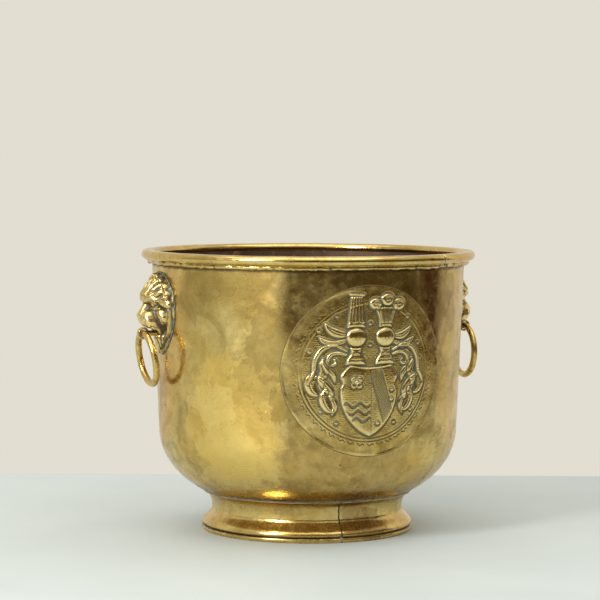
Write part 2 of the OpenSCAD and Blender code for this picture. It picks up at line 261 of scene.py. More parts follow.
class Shader:
    """A node material with short calls for what the metals share."""

    def __init__(self, name):
        self.material = bpy.data.materials.new(name)
        self.material.use_nodes = True
        self.tree = self.material.node_tree
        self.bsdf = self.tree.nodes["Principled BSDF"]
        self.place = self.add("ShaderNodeTexCoord").outputs["Object"]

    def add(self, kind, inputs=None, **settings):
        node = self.tree.nodes.new(kind)
        for key, value in settings.items():
            setattr(node, key, value)
        for key, value in (inputs or {}).items():
            self.feed(node.inputs[key], value)
        return node

    def feed(self, socket, value):
        if isinstance(value, bpy.types.NodeSocket):
            self.tree.links.new(value, socket)
        else:
            socket.default_value = value

    def noise(self, size, detail=4.0, roughness=0.55, distortion=0.0, stretch=(1, 1, 1), seed=0.0):
        """Noise whose patches are about size millimetres across, as a 0 to 1 value."""
        moved = self.add("ShaderNodeMapping", {"Vector": self.place, "Scale": stretch,
                                               "Location": (seed, seed * 0.7, seed * 0.3)})
        node = self.add("ShaderNodeTexNoise", {
            "Vector": moved.outputs[0], "Scale": 1 / (size * MM), "Detail": detail,
            "Roughness": roughness, "Distortion": distortion})
        return node.outputs["Fac"]

    def cells(self, size, seed=0.0):
        """Distance to the nearest of scattered points about size millimetres apart, in cells."""
        moved = self.add("ShaderNodeMapping", {"Vector": self.place, "Location": (seed, seed, seed)})
        node = self.add("ShaderNodeTexVoronoi", {
            "Vector": moved.outputs[0], "Scale": 1 / (size * MM)})
        return node.outputs["Distance"]

    def spread(self, value, lo, hi, to_lo=0.0, to_hi=1.0):
        """Stretches lo..hi of a value to to_lo..to_hi, with smooth ends."""
        node = self.add("ShaderNodeMapRange", {
            "Value": value, "From Min": lo, "From Max": hi, "To Min": to_lo, "To Max": to_hi},
            interpolation_type="SMOOTHSTEP")
        return node.outputs[0]

    def math(self, operation, a, b=0.0, clamp=False):
        node = self.add("ShaderNodeMath", {0: a, 1: b}, operation=operation, use_clamp=clamp)
        return node.outputs[0]

    def mix(self, factor, a, b):
        node = self.add("ShaderNodeMix", {0: factor, 6: a, 7: b}, data_type="RGBA")
        return node.outputs[2]

    def field(self, name):
        return self.add("ShaderNodeAttribute", attribute_name=name).outputs["Fac"]

    def near(self, centre, radius, ragged, seed=0.0):
        """1 within a radius of a point and 0 outside it, with a ragged edge; in millimetres."""
        away = self.add("ShaderNodeVectorMath", {0: self.place, 1: tuple(np.asarray(centre) * MM)},
                        operation="DISTANCE").outputs["Value"]
        wander = self.noise(radius * 0.7, 7, 0.62, 0.6, seed=seed)
        shift = self.math("MULTIPLY", self.math("SUBTRACT", wander, 0.5), 4 * ragged * MM)
        return self.spread(self.math("ADD", away, shift), radius * 0.97 * MM, radius * MM, 1.0, 0.0)

    def height(self):
        """Height above the table in millimetres."""
        split = self.add("ShaderNodeSeparateXYZ", {0: self.place})
        return self.math("DIVIDE", split.outputs["Z"], MM)

    def bump(self, value, depth, normal=None):
        """Bump of depth millimetres for a value from 0 to 1."""
        inputs = {"Height": value, "Distance": depth * MM, "Strength": 1.0}
        if normal is not None:
            inputs["Normal"] = normal
        return self.add("ShaderNodeBump", inputs).outputs[0]


def colour(r, g, b):
    return (r, g, b, 1.0)


GOLD = colour(0.65, 0.44, 0.125)
PALE_GOLD = colour(0.79, 0.60, 0.23)
OLIVE = colour(0.33, 0.225, 0.065)
BROWN = colour(0.24, 0.125, 0.05)
DARK = colour(0.06, 0.035, 0.022)
VERDIGRIS = colour(0.15, 0.235, 0.205)
WORN_HIGHLIGHT_GOLD = colour(0.95, 0.76, 0.36)
# Painted reflections and a painted highlight of the window and the lit table, for the bowl's patches.
WINDOW_REFLECTION_GOLD = colour(0.80, 0.53, 0.13)
WINDOW_HIGHLIGHT_GOLD = colour(0.88, 0.64, 0.22)
TABLE_REFLECTION_GOLD = colour(0.84, 0.62, 0.20)

# Patches as (turn in degrees, height, radius, how frayed the edge is, tint, strength). The gold ones on the
# left front are painted reflections of the window and the lit table, and the olive and brown ones high on the
# front right are a painted reflection of the dark room; the rest are patina and stains. The foot's are all
# brown, so they give no tint.
BOWL_PATCHES_AND_REFLECTIONS = [
    (-50, 96, 44, 20, WINDOW_REFLECTION_GOLD, 0.55), (-60, 104, 18, 14, WINDOW_HIGHLIGHT_GOLD, 0.5), (5, 190, 133, 14, OLIVE, 0.16),
    (-34, 150, 25, 14, OLIVE, 0.55), (-30, 104, 13, 9, OLIVE, 0.6), (-41, 125, 18, 14, OLIVE, 0.42),
    (12, 190, 58, 26, OLIVE, 0.40), (30, 175, 34, 18, BROWN, 0.35), (-52, 60, 30, 20, TABLE_REFLECTION_GOLD, 0.4),
    (-18, 58, 24, 16, BROWN, 0.22), (8, 56, 26, 18, BROWN, 0.28), (150, 120, 60, 35, OLIVE, 0.45),
    (-140, 90, 45, 30, BROWN, 0.3), (95, 70, 40, 28, PALE_GOLD, 0.4),
]
FOOT_PATCHES = [(7, 17, 13, 9, 0.5), (17, 9, 14, 9, 0.45), (-34, 24, 9, 7, 0.3), (120, 15, 24, 14, 0.4),
                (-150, 18, 20, 12, 0.4)]


def brass(name, patina=0.5, stain=0.3, gloss=0.24, hollows=0.0, verdigris=0.0, pits=0.5,
          patch=34.0, seed=0.0, extra=None):
    """Old brass: cloudy patina, brown stains, pits and rub marks.

    hollows and verdigris scale the mesh's "hollow" and "green" fields, which darken and green the recesses;
    the darkening is dirt and painted shade. A piece that has either also gets its "worn" field, which
    brightens the
    high spots: rubbed wear and a painted highlight.
    """
    s = Shader(name)
    cloud = s.noise(patch, detail=5, roughness=0.6, distortion=0.6, seed=seed)
    fine = s.noise(patch / 6, detail=6, roughness=0.65, seed=seed + 3)
    grain = s.noise(0.8, detail=3, roughness=0.7, seed=seed + 5)
    tone = s.mix(s.spread(cloud, 0.35, 0.68), GOLD, PALE_GOLD)
    dull = s.math("MULTIPLY", s.spread(s.noise(patch * 0.8, 6, 0.62, 0.9, seed=seed + 9), 0.47, 0.70), patina)
    tone = s.mix(dull, tone, OLIVE)
    blotch = s.spread(s.noise(patch * 0.45, 7, 0.66, 1.2, seed=seed + 13), 0.56, 0.74)
    blotch = s.math("MULTIPLY", blotch, stain)
    tone = s.mix(blotch, tone, BROWN)
    tone = s.mix(s.spread(fine, 0.35, 0.75, 0.0, 0.35), tone, OLIVE)
    tone = s.mix(s.spread(grain, 0.5, 0.78, 0.0, 0.30), tone, BROWN)
    pit = s.spread(s.cells(4.5, seed), 0.05, 0.13, 1.0, 0.0)
    pit = s.math("MULTIPLY", pit, s.spread(s.noise(9, seed=seed + 2), 0.50, 0.62))
    pit = s.math("MULTIPLY", pit, pits)
    speck = s.spread(s.cells(21, seed + 1), 0.024, 0.046, 1.0, 0.0)
    pit = s.math("MAXIMUM", pit, s.math("MULTIPLY", speck, pits))
    tone = s.mix(pit, tone, DARK)
    rough = s.math("ADD", s.spread(fine, 0.3, 0.8, gloss - 0.06, gloss + 0.16),
                   s.math("MULTIPLY", s.math("ADD", dull, blotch), 0.16))
    metal = s.math("SUBTRACT", 1.0, s.math("MULTIPLY", blotch, 0.35))
    rub = s.noise(1.2, 3, 0.6, stretch=(0.25, 0.25, 2.2), seed=seed + 21)
    if hollows or verdigris:
        hollow = s.field("hollow")
        # Recesses darkened through the hollow field: dirt and painted shade.
        dirt_and_shade = s.math("MULTIPLY", s.spread(hollow, 0.12, 0.75), hollows)
        tone = s.mix(dirt_and_shade, tone, DARK)
        uneven = s.spread(fine, 0.30, 0.60, 0.55, 1.15)
        green = s.spread(s.math("MULTIPLY", s.field("green"), uneven), 0.25, 0.8)
        green = s.math("MULTIPLY", green, verdigris)
        tone = s.mix(green, tone, VERDIGRIS)
        # High spots brightened: rubbed wear and a painted highlight.
        worn = s.math("MULTIPLY", s.field("worn"), s.spread(fine, 0.35, 0.6, 0.5, 1.0))
        tone = s.mix(s.math("MULTIPLY", worn, 0.75), tone, WORN_HIGHLIGHT_GOLD)
        rough = s.math("SUBTRACT", rough, s.math("MULTIPLY", worn, 0.08))
        cover = s.math("MAXIMUM", green, s.math("MULTIPLY", dirt_and_shade, 0.6))
        rough = s.math("ADD", rough, s.math("MULTIPLY", cover, 0.4))
        metal = s.math("SUBTRACT", metal, s.math("MULTIPLY", cover, 0.85), clamp=True)
    if extra:
        tone, rough, metal = extra(s, tone, rough, metal, fine)
    s.feed(s.bsdf.inputs["Base Color"], tone)
    s.feed(s.bsdf.inputs["Roughness"], rough)
    s.feed(s.bsdf.inputs["Metallic"], metal)
    normal = s.bump(rub, 0.006)
    normal = s.bump(fine, 0.05, normal)
    normal = s.bump(s.math("SUBTRACT", 1.0, pit), 0.12, normal)
    s.feed(s.bsdf.inputs["Normal"], normal)
    return s.material


def bowl_look(s, tone, rough, metal, fine):
    """Dirt and painted shade under the rim and round the foot, patina, stains and painted reflections in
    patches, and the dark, spotted inside.
    """
    height = s.height()
    ragged = s.math("MULTIPLY", s.math("SUBTRACT", fine, 0.5), 3.0)
    # A dark band under the rim: dirt in the join and painted shade under the roll.
    high = s.spread(s.math("ADD", height, ragged), rim_lo[2] - 2.6, rim_lo[2] - 0.6)
    # A brown band just above the foot: dirt and painted shade where the bowl meets the foot.
    low = s.spread(s.math("ADD", height, s.math("MULTIPLY", ragged, 1.5)), foot_hi[2] + 9.0, foot_hi[2] + 1.5)
    tone = s.mix(s.math("MULTIPLY", high, 0.85), tone, DARK)
    tone = s.mix(s.math("MULTIPLY", low, 0.62), tone, BROWN)
    # Patina, stains and painted reflections, in patches.
    for turn, z, radius, frayed, tint, share in BOWL_PATCHES_AND_REFLECTIONS:
        centre = turned(wall_r(z), float(z), math.radians(turn))
        tone = s.mix(s.math("MULTIPLY", s.near(centre, radius, frayed, seed=abs(turn)), share), tone, tint)
    inside = s.field("inside")
    murk = s.mix(s.spread(s.noise(26, 8, 0.68, 0.15, seed=4), 0.36, 0.70), colour(0.095, 0.055, 0.04),
                 colour(0.18, 0.11, 0.065))
    copper = s.spread(s.noise(14, 8, 0.7, 0.2, stretch=(1, 1, 0.4), seed=8), 0.56, 0.76)
    copper = s.math("MULTIPLY", copper, s.spread(height, rim_lo[2] - 60, rim_lo[2] - 5, 0.3, 0.75))
    murk = s.mix(copper, murk, colour(0.58, 0.33, 0.17))
    spots = s.spread(s.noise(7, 7, 0.72, 0.1, seed=17), 0.62, 0.70)
    murk = s.mix(s.math("MULTIPLY", spots, 0.8), murk, colour(0.20, 0.36, 0.33))
    tone = s.mix(inside, tone, murk)
    rough = s.math("MAXIMUM", rough, s.math("MULTIPLY", inside, 0.52))
    metal = s.math("SUBTRACT", metal, s.math("MULTIPLY", inside, s.math("ADD", 0.25, spots)), clamp=True)
    return tone, rough, metal


def foot_look(s, tone, rough, metal, fine):
    """Brown painted shadow under the foot's lip, painted shade in its groove, and brown patches beside the
    joint.
    """
    height = s.math("ADD", s.height(), s.math("MULTIPLY", s.math("SUBTRACT", fine, 0.5), 1.6))
    # Painted shadow: a brown band under the foot's lip.
    lip_shadow = s.math("MULTIPLY", s.spread(height, foot_hi[2] - 6.5, foot_hi[2] - 2.2),
                   s.spread(height, 40, 28.6))
    tone = s.mix(s.math("MULTIPLY", lip_shadow, 0.55), tone, BROWN)
    # Painted shade: the groove above the base bead darkened.
    groove = s.math("MULTIPLY", s.spread(height, 2.6, 3.4), s.spread(height, 5.1, 4.3))
    tone = s.mix(s.math("MULTIPLY", groove, 0.9), tone, DARK)
    for turn, z, radius, frayed, share in FOOT_PATCHES:
        centre = turned(foot_hi[0] - 4, float(z), math.radians(turn))
        tone = s.mix(s.math("MULTIPLY", s.near(centre, radius, frayed, seed=turn + 200), share), tone, BROWN)
    return tone, rough, metal


def solder_metal(name):
    """Dull grey soft solder with dirt and a little verdigris; its "hollow" field darkens it almost to black,
    with dirt and painted shade.
    """
    s = Shader(name)
    cloud = s.noise(3.0, 5, 0.6, 0.5)
    grain = s.noise(0.5, 3, 0.6, seed=2)
    tone = s.mix(s.spread(cloud, 0.35, 0.7), colour(0.30, 0.32, 0.29), colour(0.13, 0.13, 0.11))
    tone = s.mix(s.spread(s.noise(5, 5, 0.7, seed=6), 0.5, 0.66, 0.0, 0.35), tone, VERDIGRIS)
    tone = s.mix(s.spread(grain, 0.55, 0.8, 0.0, 0.6), tone, DARK)
    # Near black where the hollow field is set: dirt and painted shade in a narrow joint.
    tone = s.mix(s.math("MULTIPLY", s.field("hollow"), 0.88), tone, colour(0.035, 0.022, 0.015))
    s.feed(s.bsdf.inputs["Base Color"], tone)
    s.feed(s.bsdf.inputs["Roughness"], s.spread(cloud, 0.3, 0.7, 0.42, 0.68))
    s.feed(s.bsdf.inputs["Metallic"], s.spread(grain, 0.3, 0.8, 0.8, 0.4))
    s.feed(s.bsdf.inputs["Normal"], s.bump(grain, 0.12))
    return s.material


def rusty_iron(name):
    s = Shader(name)
    cloud = s.noise(2.5, 6, 0.65, 0.4)
    tone = s.mix(s.spread(cloud, 0.4, 0.65), colour(0.045, 0.04, 0.038), colour(0.16, 0.07, 0.035))
    s.feed(s.bsdf.inputs["Base Color"], tone)
    s.feed(s.bsdf.inputs["Roughness"], s.spread(cloud, 0.3, 0.7, 0.5, 0.9))
    s.feed(s.bsdf.inputs["Metallic"], s.spread(cloud, 0.4, 0.7, 0.7, 0.1))
    s.feed(s.bsdf.inputs["Normal"], s.bump(cloud, 0.15))
    return s.material


BOWL_BRASS = brass("bowl_brass", patina=0.75, stain=0.45, gloss=0.20, pits=0.9, patch=42, extra=bowl_look)
RIM_BRASS = brass("rim_brass", patina=0.3, stain=0.22, gloss=0.16, hollows=0.9, verdigris=0.2, pits=0.6,
                  patch=26, seed=31)
FOOT_BRASS = brass("foot_brass", patina=0.4, stain=0.5, gloss=0.20, pits=0.6, patch=24, seed=47,
                   extra=foot_look)
PLAQUE_BRASS = brass("plaque_brass", patina=0.6, stain=0.25, gloss=0.20, hollows=0.8, verdigris=0.6,
                     pits=0.35, patch=30, seed=63)
MASK_BRASS = brass("mask_brass", patina=0.25, stain=0.2, gloss=0.20, hollows=0.95, verdigris=0.6, pits=0.3,
                   patch=14, seed=71)
RING_BRASS = brass("ring_brass", patina=0.5, stain=0.35, gloss=0.24, hollows=0.8, verdigris=0.2, pits=0.4,
                   patch=10, seed=83)
FIXING_BRASS = brass("fixing_brass", patina=0.9, stain=0.8, gloss=0.34, pits=0.4, patch=6, seed=97)
SOLDER = solder_metal("solder")
IRON = rusty_iron("iron")


# ---------- bowl ----------

def bowl_line():
    """The bowl's outer face from the bottom's centre to the top of the wall."""
    corner_c = wall_r(CORNER_Z) - CORNER_REACH
    floor = np.stack([np.linspace(0, corner_c, 14), np.full(14, bowl_lo[2])], 1)
    t = np.radians(np.linspace(0, 90, 56))
    corner = np.stack([corner_c + CORNER_REACH * np.sin(t), CORNER_Z - CORNER_DROP * np.cos(t)], 1)
    heights = np.linspace(CORNER_Z, bowl_hi[2], 64)
    wall = np.stack([wall_r(heights), heights], 1)
    return np.vstack([floor[:-1], corner[:-1], wall])


def build_bowl():
    """Raised sheet: both faces follow the same gentle hammering."""
    turns = 366
    line = bowl_line()
    normals = line_normals(line)
    turn = np.linspace(0, FULL, turns, endpoint=False)[:, None]
    face = turned(line[:, 0], line[:, 1], turn)
    out = turned(normals[:, 0], normals[:, 1], turn)
    calm = smooth(face[..., 2], rim_lo[2] - 1, rim_lo[2] - 16) * smooth(face[..., 2], bowl_lo[2], 34)
    relief = 0.16 * waves(face, 75, 1) + 0.055 * waves(face, 27, 2) + 0.014 * waves(face, 9, 3)
    relief = (relief * calm)[..., None]
    outer = face + out * relief
    inner = face + out * (relief - SHEET)
    points = np.concatenate([outer, inner[:, ::-1]], 1)
    inside = np.concatenate([np.zeros(outer.shape[:2]), np.ones(inner.shape[:2])], 1)
    faces = grid_faces(turns, points.shape[1], wrap_rows=True)
    add_piece("bowl_shell", [(points.reshape(-1, 3), faces)], "root", ["bowl"],
              BOWL_BRASS, {"inside": inside})


# ---------- rim ----------

def rim_section():
    """The bead and the roll under it, as one closed outline; returns it with 1 where it is roll."""
    r = RIM_H / 2
    z = rim_hi[2] - r
    in_c = rim_hi[0] - RIM_WIDTH + r
    out_c = rim_hi[0] - r
    roll_c = (wall_r(rim_hi[2] - RIM_H) + 1.5, rim_hi[2] - RIM_H + ROLL_LAP - ROLL_R)
    bead = np.vstack([arc((in_c, z), r, 270, 90, 19), arc((out_c, z), r, 90, -52, 25)])
    roll = arc(roll_c, ROLL_R, 26, -140, 22)
    outline = np.vstack([bead, roll])
    return outline, np.concatenate([np.zeros(len(bead)), np.ones(len(roll))])


def build_rim():
    outline, is_roll = rim_section()
    normals = line_normals(np.vstack([outline[-1:], outline, outline[:1]]))[1:-1]
    normals *= -1 if normals[30][0] < 0 else 1
    near = np.linspace(-1, 1, 61) ** 3 * 0.05 + np.linspace(-1, 1, 61) * 0.012
    rest = np.linspace(near[-1], FULL + near[0], 420)[1:-1]
    turn = (RIM_JOINT + np.concatenate([near, rest]))[:, None]
    face = turned(outline[:, 0], outline[:, 1], turn)
    out = turned(normals[:, 0], normals[:, 1], turn)
    circle = turned(rim_hi[0], 0.0, turn[:, 0])
    uneven = 0.16 * waves(circle, 9, 11) + 0.13 * waves(circle, 4, 12) + 0.1 * waves(circle, 40, 13)
    dent = 0.05 * waves(face, 30, 14) + 0.015 * waves(face, 7, 15)
    relief = dent + uneven[:, None] * is_roll
    # The butt joint is a crooked slot through the bead's face and the roll.
    off = (turn - RIM_JOINT + FULL / 2) % FULL - FULL / 2
    across = off * rim_hi[0] - 0.45 * np.sin(outline[:, 1] * 1.1) - 0.25 * np.sin(outline[:, 1] * 2.7)
    cut = np.exp(-(across / RIM_SLOT) ** 2)
    slot = np.maximum(cut * smooth(outline[:, 0], rim_hi[0] - 8, rim_hi[0] - 3.5), cut * is_roll)
    lip = np.exp(-((np.abs(across) - 0.9) / 0.5) ** 2) * 0.10
    relief = np.where(is_roll, relief, np.minimum(relief - 0.10 + lip, -0.02)) - 1.1 * slot
    points = face + out * relief[..., None]
    groove_z = rim_hi[2] - RIM_H - 0.5
    groove = np.exp(-((outline[:, 1] - groove_z) / 0.5) ** 2) * smooth(outline[:, 0], 119, 122)
    foot = smooth(outline[:, 1], rim_lo[2] + 1.1, rim_lo[2] + 0.1) * is_roll
    # The hollow field: the butt joint's slot and dirt on the roll, with painted shade in the groove under the
    # bead and on the roll's underside.
    hollow = np.clip(1.2 * slot + 0.3 * groove + 0.8 * foot + 0.25 * waves(face, 5, 16) * is_roll, 0, 1)
    faces = grid_faces(len(turn), len(outline), wrap_rows=True, wrap_cols=True)
    add_piece("rim_bead", [(points.reshape(-1, 3), faces)], "root", ["rim_moulding"],
              RIM_BRASS, {"hollow": hollow, "green": hollow * 0.6})


# ---------- foot ----------

def foot_lines():
    """The foot's outer face from its base up to the lip, and its inner face back down."""
    bead_r, bead_c = 2.1, (foot_hi[0] - 2.1, 1.9)
    ogee_r, ogee_z, ogee_top = foot_hi[0] - 0.4, 4.9, 16.5
    neck_r, neck_z = 72.7, 17.5
    top_r, lip = 79.8, foot_hi[2]
    thick = 1.1
    base = arc(bead_c, bead_r, -64, 62, 20)
    t = np.linspace(0, 1, 30)
    ogee = np.stack([neck_r + (ogee_r - neck_r) * (1 + np.cos(math.pi * t)) / 2,
                     ogee_z + 0.5 + (ogee_top - ogee_z - 0.5) * t], 1)
    ogee_edge = arc((ogee_r - 0.45, ogee_z + 0.45), 0.45, -90, 0, 6)
    flare_h = lip - 1 - neck_z
    a = np.radians(np.linspace(0, 84, 26))
    flare = np.stack([top_r - (top_r - neck_r) * np.cos(a), neck_z + flare_h * np.sin(a)], 1)
    lip_edge = np.vstack([arc((top_r - 0.35, lip - 0.75), 0.35, -80, 0, 5), [[top_r - 0.1, lip - 0.05]]])
    outer = np.vstack([base, [[foot_hi[0] - 1.7, 3.9], [foot_hi[0] - 1.7, ogee_z - 0.1]],
                       ogee_edge, ogee[1:], flare, lip_edge])
    flare_in = np.stack([top_r - (top_r - neck_r + thick) * np.cos(a),
                         neck_z + (flare_h + 0.7) * np.sin(a)], 1)
    ogee_in = ogee - [thick, 0]
    inner = np.vstack([flare_in[:-3][::-1], ogee_in[::-1], [[foot_hi[0] - 2.8, 3.6]],
                       arc(bead_c, bead_r, 130, 244, 12)])
    return outer, inner


def seam_bend(z):
    """Sideways run of the foot's crooked joint, in millimetres."""
    return 0.5 * np.sin(z / foot_hi[2] * 5.4 - 0.6) + 0.18 * np.sin(z * 1.3)


def build_foot():
    """An open strip bent round and butted: its two ends leave a crooked joint."""
    outer, inner = foot_lines()
    outline = np.vstack([outer, inner])
    even = np.linspace(-1, 1, 381)
    close = (1 + even - 0.06 * np.sin(even * math.pi)) / 2      # columns a little wider apart by the joint
    start = FOOT_JOINT + (JOINT_GAP / 2 + seam_bend(outline[:, 1])) / outline[:, 0]
    stop = FOOT_JOINT + FULL - (JOINT_GAP / 2 - seam_bend(outline[:, 1])) / outline[:, 0]
    turn = start + (stop - start) * close[:, None]
    face = turned(outline[:, 0], outline[:, 1], turn)
    normals = line_normals(outline)
    out = turned(normals[:, 0], normals[:, 1], turn)
    calm = smooth(outline[:, 1], 0.3, 3.0) * smooth(outline[:, 1], foot_hi[2] - 0.2, foot_hi[2] - 3)
    relief = (0.10 * waves(face, 34, 21) + 0.035 * waves(face, 11, 22)) * calm
    relief[:, len(outer):] *= 0.2
    points = face + out * np.minimum(relief, 0.25)[..., None]
    count = len(outline)
    faces = grid_faces(len(turn), count, wrap_cols=True)
    faces += [list(range(count)), [(len(turn) - 1) * count + i for i in range(count)]]
    add_piece("foot_band", [(points.reshape(-1, 3), faces)], "root", ["foot_ring"],
              FOOT_BRASS, sharp=38)


def build_foot_solder():
    """An uneven fillet of solder between the bowl's underside and the foot's lip."""
    turns = 720
    turn = np.linspace(0, FULL, turns, endpoint=False)
    circle = turned(foot_hi[0], 0.0, turn)
    swell = 0.35 * waves(circle, 14, 31) + 0.25 * waves(circle, 5, 32)
    r = np.stack([np.full(turns, 77.0), 78.6 + 0 * turn, 80.0 + 0.35 * swell, 80.55 + 0.5 * swell,
                  80.3 + 0.3 * swell, 79.75 + 0 * turn, 78.0 + 0 * turn], 1)
    top = under_z(r) + 0.05
    lip = foot_hi[2]
    z = np.stack([top[:, 0], top[:, 1], top[:, 2], top[:, 3], (top[:, 4] + lip) / 2 - 0.1,
                  lip - 0.25 + 0.15 * swell, np.full(turns, lip - 0.4)], 1)
    z[:, 6] = np.minimum(z[:, 6], top[:, 6] - 0.05)
    points = turned(r, z, turn[:, None])
    faces = grid_faces(turns, r.shape[1], wrap_rows=True, wrap_cols=True)
    add_piece("foot_solder_fillet", [(points.reshape(-1, 3), faces)], "root", ["foot_solder"],
              SOLDER)


def build_seam_solder():
    """Solder set back in the foot's joint, and the lump that closed it at the base bead."""
    outer, _ = foot_lines()
    line = along(outer[(outer[:, 1] > 1.2) & (outer[:, 1] < foot_hi[2] - 2)], 0.5)
    turn = FOOT_JOINT + seam_bend(line[:, 1]) / line[:, 0]
    strand = turned(line[:, 0] - 1.0, line[:, 1], turn)
    width = 0.62 + 0.05 * waves(strand, 3, 41)
    strip = tube(strand, width, sides=8, closed=False, cap_ends=True)
    rows, cols = 22, 28
    lat = np.radians(np.linspace(-90, 90, rows))[:, None]
    lon = np.linspace(0, FULL, cols, endpoint=False)[None, :]
    ball = np.stack([np.cos(lat) * np.cos(lon), np.cos(lat) * np.sin(lon), np.sin(lat) + 0 * lon], -1)
    lump = ball * (1 + 0.10 * waves(ball * 3, 3.5, 42))[..., None] * [1.35, 1.0, 1.9]
    centre = turned(foot_hi[0] - 0.9, 2.1, FOOT_JOINT + seam_bend(2.1) / foot_hi[0])
    c, s = math.cos(FOOT_JOINT), math.sin(FOOT_JOINT)
    lump = lump @ np.array([[c, s, 0], [-s, c, 0], [0, 0, 1]]) + centre
    blob = (lump.reshape(-1, 3), grid_faces(rows, cols, wrap_cols=True))
    # The strip in the joint is set near black through the hollow field: dirt and painted shade in the narrow
    # gap.
    dark = np.concatenate([np.ones(len(strip[0])), np.zeros(len(blob[0]))])
    add_piece("foot_seam_fill", [strip, blob], "root", ["foot_seam_solder"],
              SOLDER, {"hollow": dark})


# ---------- drawn relief: fields over a plane, for the plaque and the masks ----------

def only(where, d):
    """The distance d where the condition holds, and too far off to be drawn elsewhere."""
    return np.where(where, d, 9.0)


def d_circle(u, v, cu, cv, ru, rv=None):
    """Signed distance to a circle, or nearly that to an ellipse; negative inside."""
    rv = ru if rv is None else rv
    far = np.hypot((u - cu) / ru, (v - cv) / rv)
    return (far - 1) * min(ru, rv)


def d_polygon(u, v, outline):
    """Signed distance to a closed outline."""
    best = np.full(u.shape, 1e9)
    inside = np.zeros(u.shape, bool)
    for (ax, ay), (bx, by) in zip(outline, np.roll(outline, -1, 0)):
        ex, ey = bx - ax, by - ay
        t = np.clip(((u - ax) * ex + (v - ay) * ey) / (ex * ex + ey * ey + 1e-12), 0, 1)
        best = np.minimum(best, np.hypot(u - ax - t * ex, v - ay - t * ey))
        crosses = ((ay > v) != (by > v)) & (u < (bx - ax) * (v - ay) / (by - ay + 1e-12) + ax)
        inside ^= crosses
    return np.where(inside, -best, best)


def d_stroke(u, v, line, width):
    """Distance to a drawn line minus its half width, which may change along it."""
    line = np.asarray(line, float)
    width = np.interp(np.linspace(0, 1, len(line)), np.linspace(0, 1, len(np.atleast_1d(width))),
                      np.atleast_1d(width))
    margin = width.max() + 3
    near = ((u > line[:, 0].min() - margin) & (u < line[:, 0].max() + margin)
            & (v > line[:, 1].min() - margin) & (v < line[:, 1].max() + margin))
    pu, pv = u[near], v[near]
    best = np.full(pu.shape, 1e9)
    for i in range(len(line) - 1):
        (ax, ay), (bx, by) = line[i], line[i + 1]
        ex, ey = bx - ax, by - ay
        t = np.clip(((pu - ax) * ex + (pv - ay) * ey) / (ex * ex + ey * ey + 1e-12), 0, 1)
        half = width[i] + (width[i + 1] - width[i]) * t
        best = np.minimum(best, np.hypot(pu - ax - t * ex, pv - ay - t * ey) - half)
    field = np.full(u.shape, 1e3)
    field[near] = best
    return field


def blurred(field, cells):
    """The field smoothed over about that many cells each way."""
    for axis in (0, 1):
        for _ in range(2):
            padded = np.pad(field, [(cells + 1, cells) if i == axis else (0, 0) for i in (0, 1)], "edge")
            total = np.cumsum(padded, axis)
            hi = np.take(total, range(2 * cells + 1, total.shape[axis]), axis)
            lo = np.take(total, range(0, total.shape[axis] - 2 * cells - 1), axis)
            field = (hi - lo) / (2 * cells + 1)
    return field


class Relief:
    """A height drawn over the plaque, with its sunken outlines and its grey hatching."""

    def __init__(self, u, v, ground):
        self.u, self.v = u, v
        self.h = ground.copy()
        self.line = np.zeros_like(ground)
        self.grey = np.zeros_like(ground)

    def raised(self, d, height, bevel=1.2, dome=0.0, outline=0.9, base=None):
        """Lifts the inside of a shape with a rounded edge, and sinks a line round it."""
        inside = d < 0
        depth = np.clip(-d / bevel, 0, 1)
        lift = height * np.sqrt(1 - (1 - depth) ** 2) + dome * (1 - np.exp(np.minimum(d, 0) / 3.0))
        floor = self.h if base is None else base
        self.h = np.where(inside, np.maximum(self.h, floor + lift), self.h)
        edge = np.exp(-((d - 0.15) / 0.42) ** 2)
        self.h -= 0.30 * outline * np.exp(-((d - 0.45) / 0.45) ** 2) * (d > -0.3)
        self.line = np.where(d < -0.6, self.line * 0.35, self.line)
        self.line = np.maximum(self.line, outline * edge)

    def cut(self, d, width=0.35, depth=0.25, dark=0.6):
        """Engraves a line where d is about 0 or less."""
        mark = np.exp(-(np.maximum(d, 0) / width) ** 2)
        self.h -= depth * mark
        self.line = np.maximum(self.line, dark * mark)

    def stroke(self, points, width, height=0.9, **look):
        self.raised(d_stroke(self.u, self.v, curve(points), width), height,
                    bevel=max(0.7, float(np.max(width))), **look)

    def leaf(self, points, width, height=1.1, **look):
        """A tapered leaf along a curve, with its middle vein cut in."""
        line = curve(points)
        profile = np.sin(np.linspace(0.16, 1, 9) * math.pi) ** 0.8 * width
        d = d_stroke(self.u, self.v, line, profile)
        self.raised(d, height, bevel=max(0.9, width), **look)
        self.cut(d_stroke(self.u, self.v, line[2:-4], 0.05), 0.28, 0.32, 0.55)


def side_by_side(points, flip):
    return [(flip * a, b) for a, b in points]


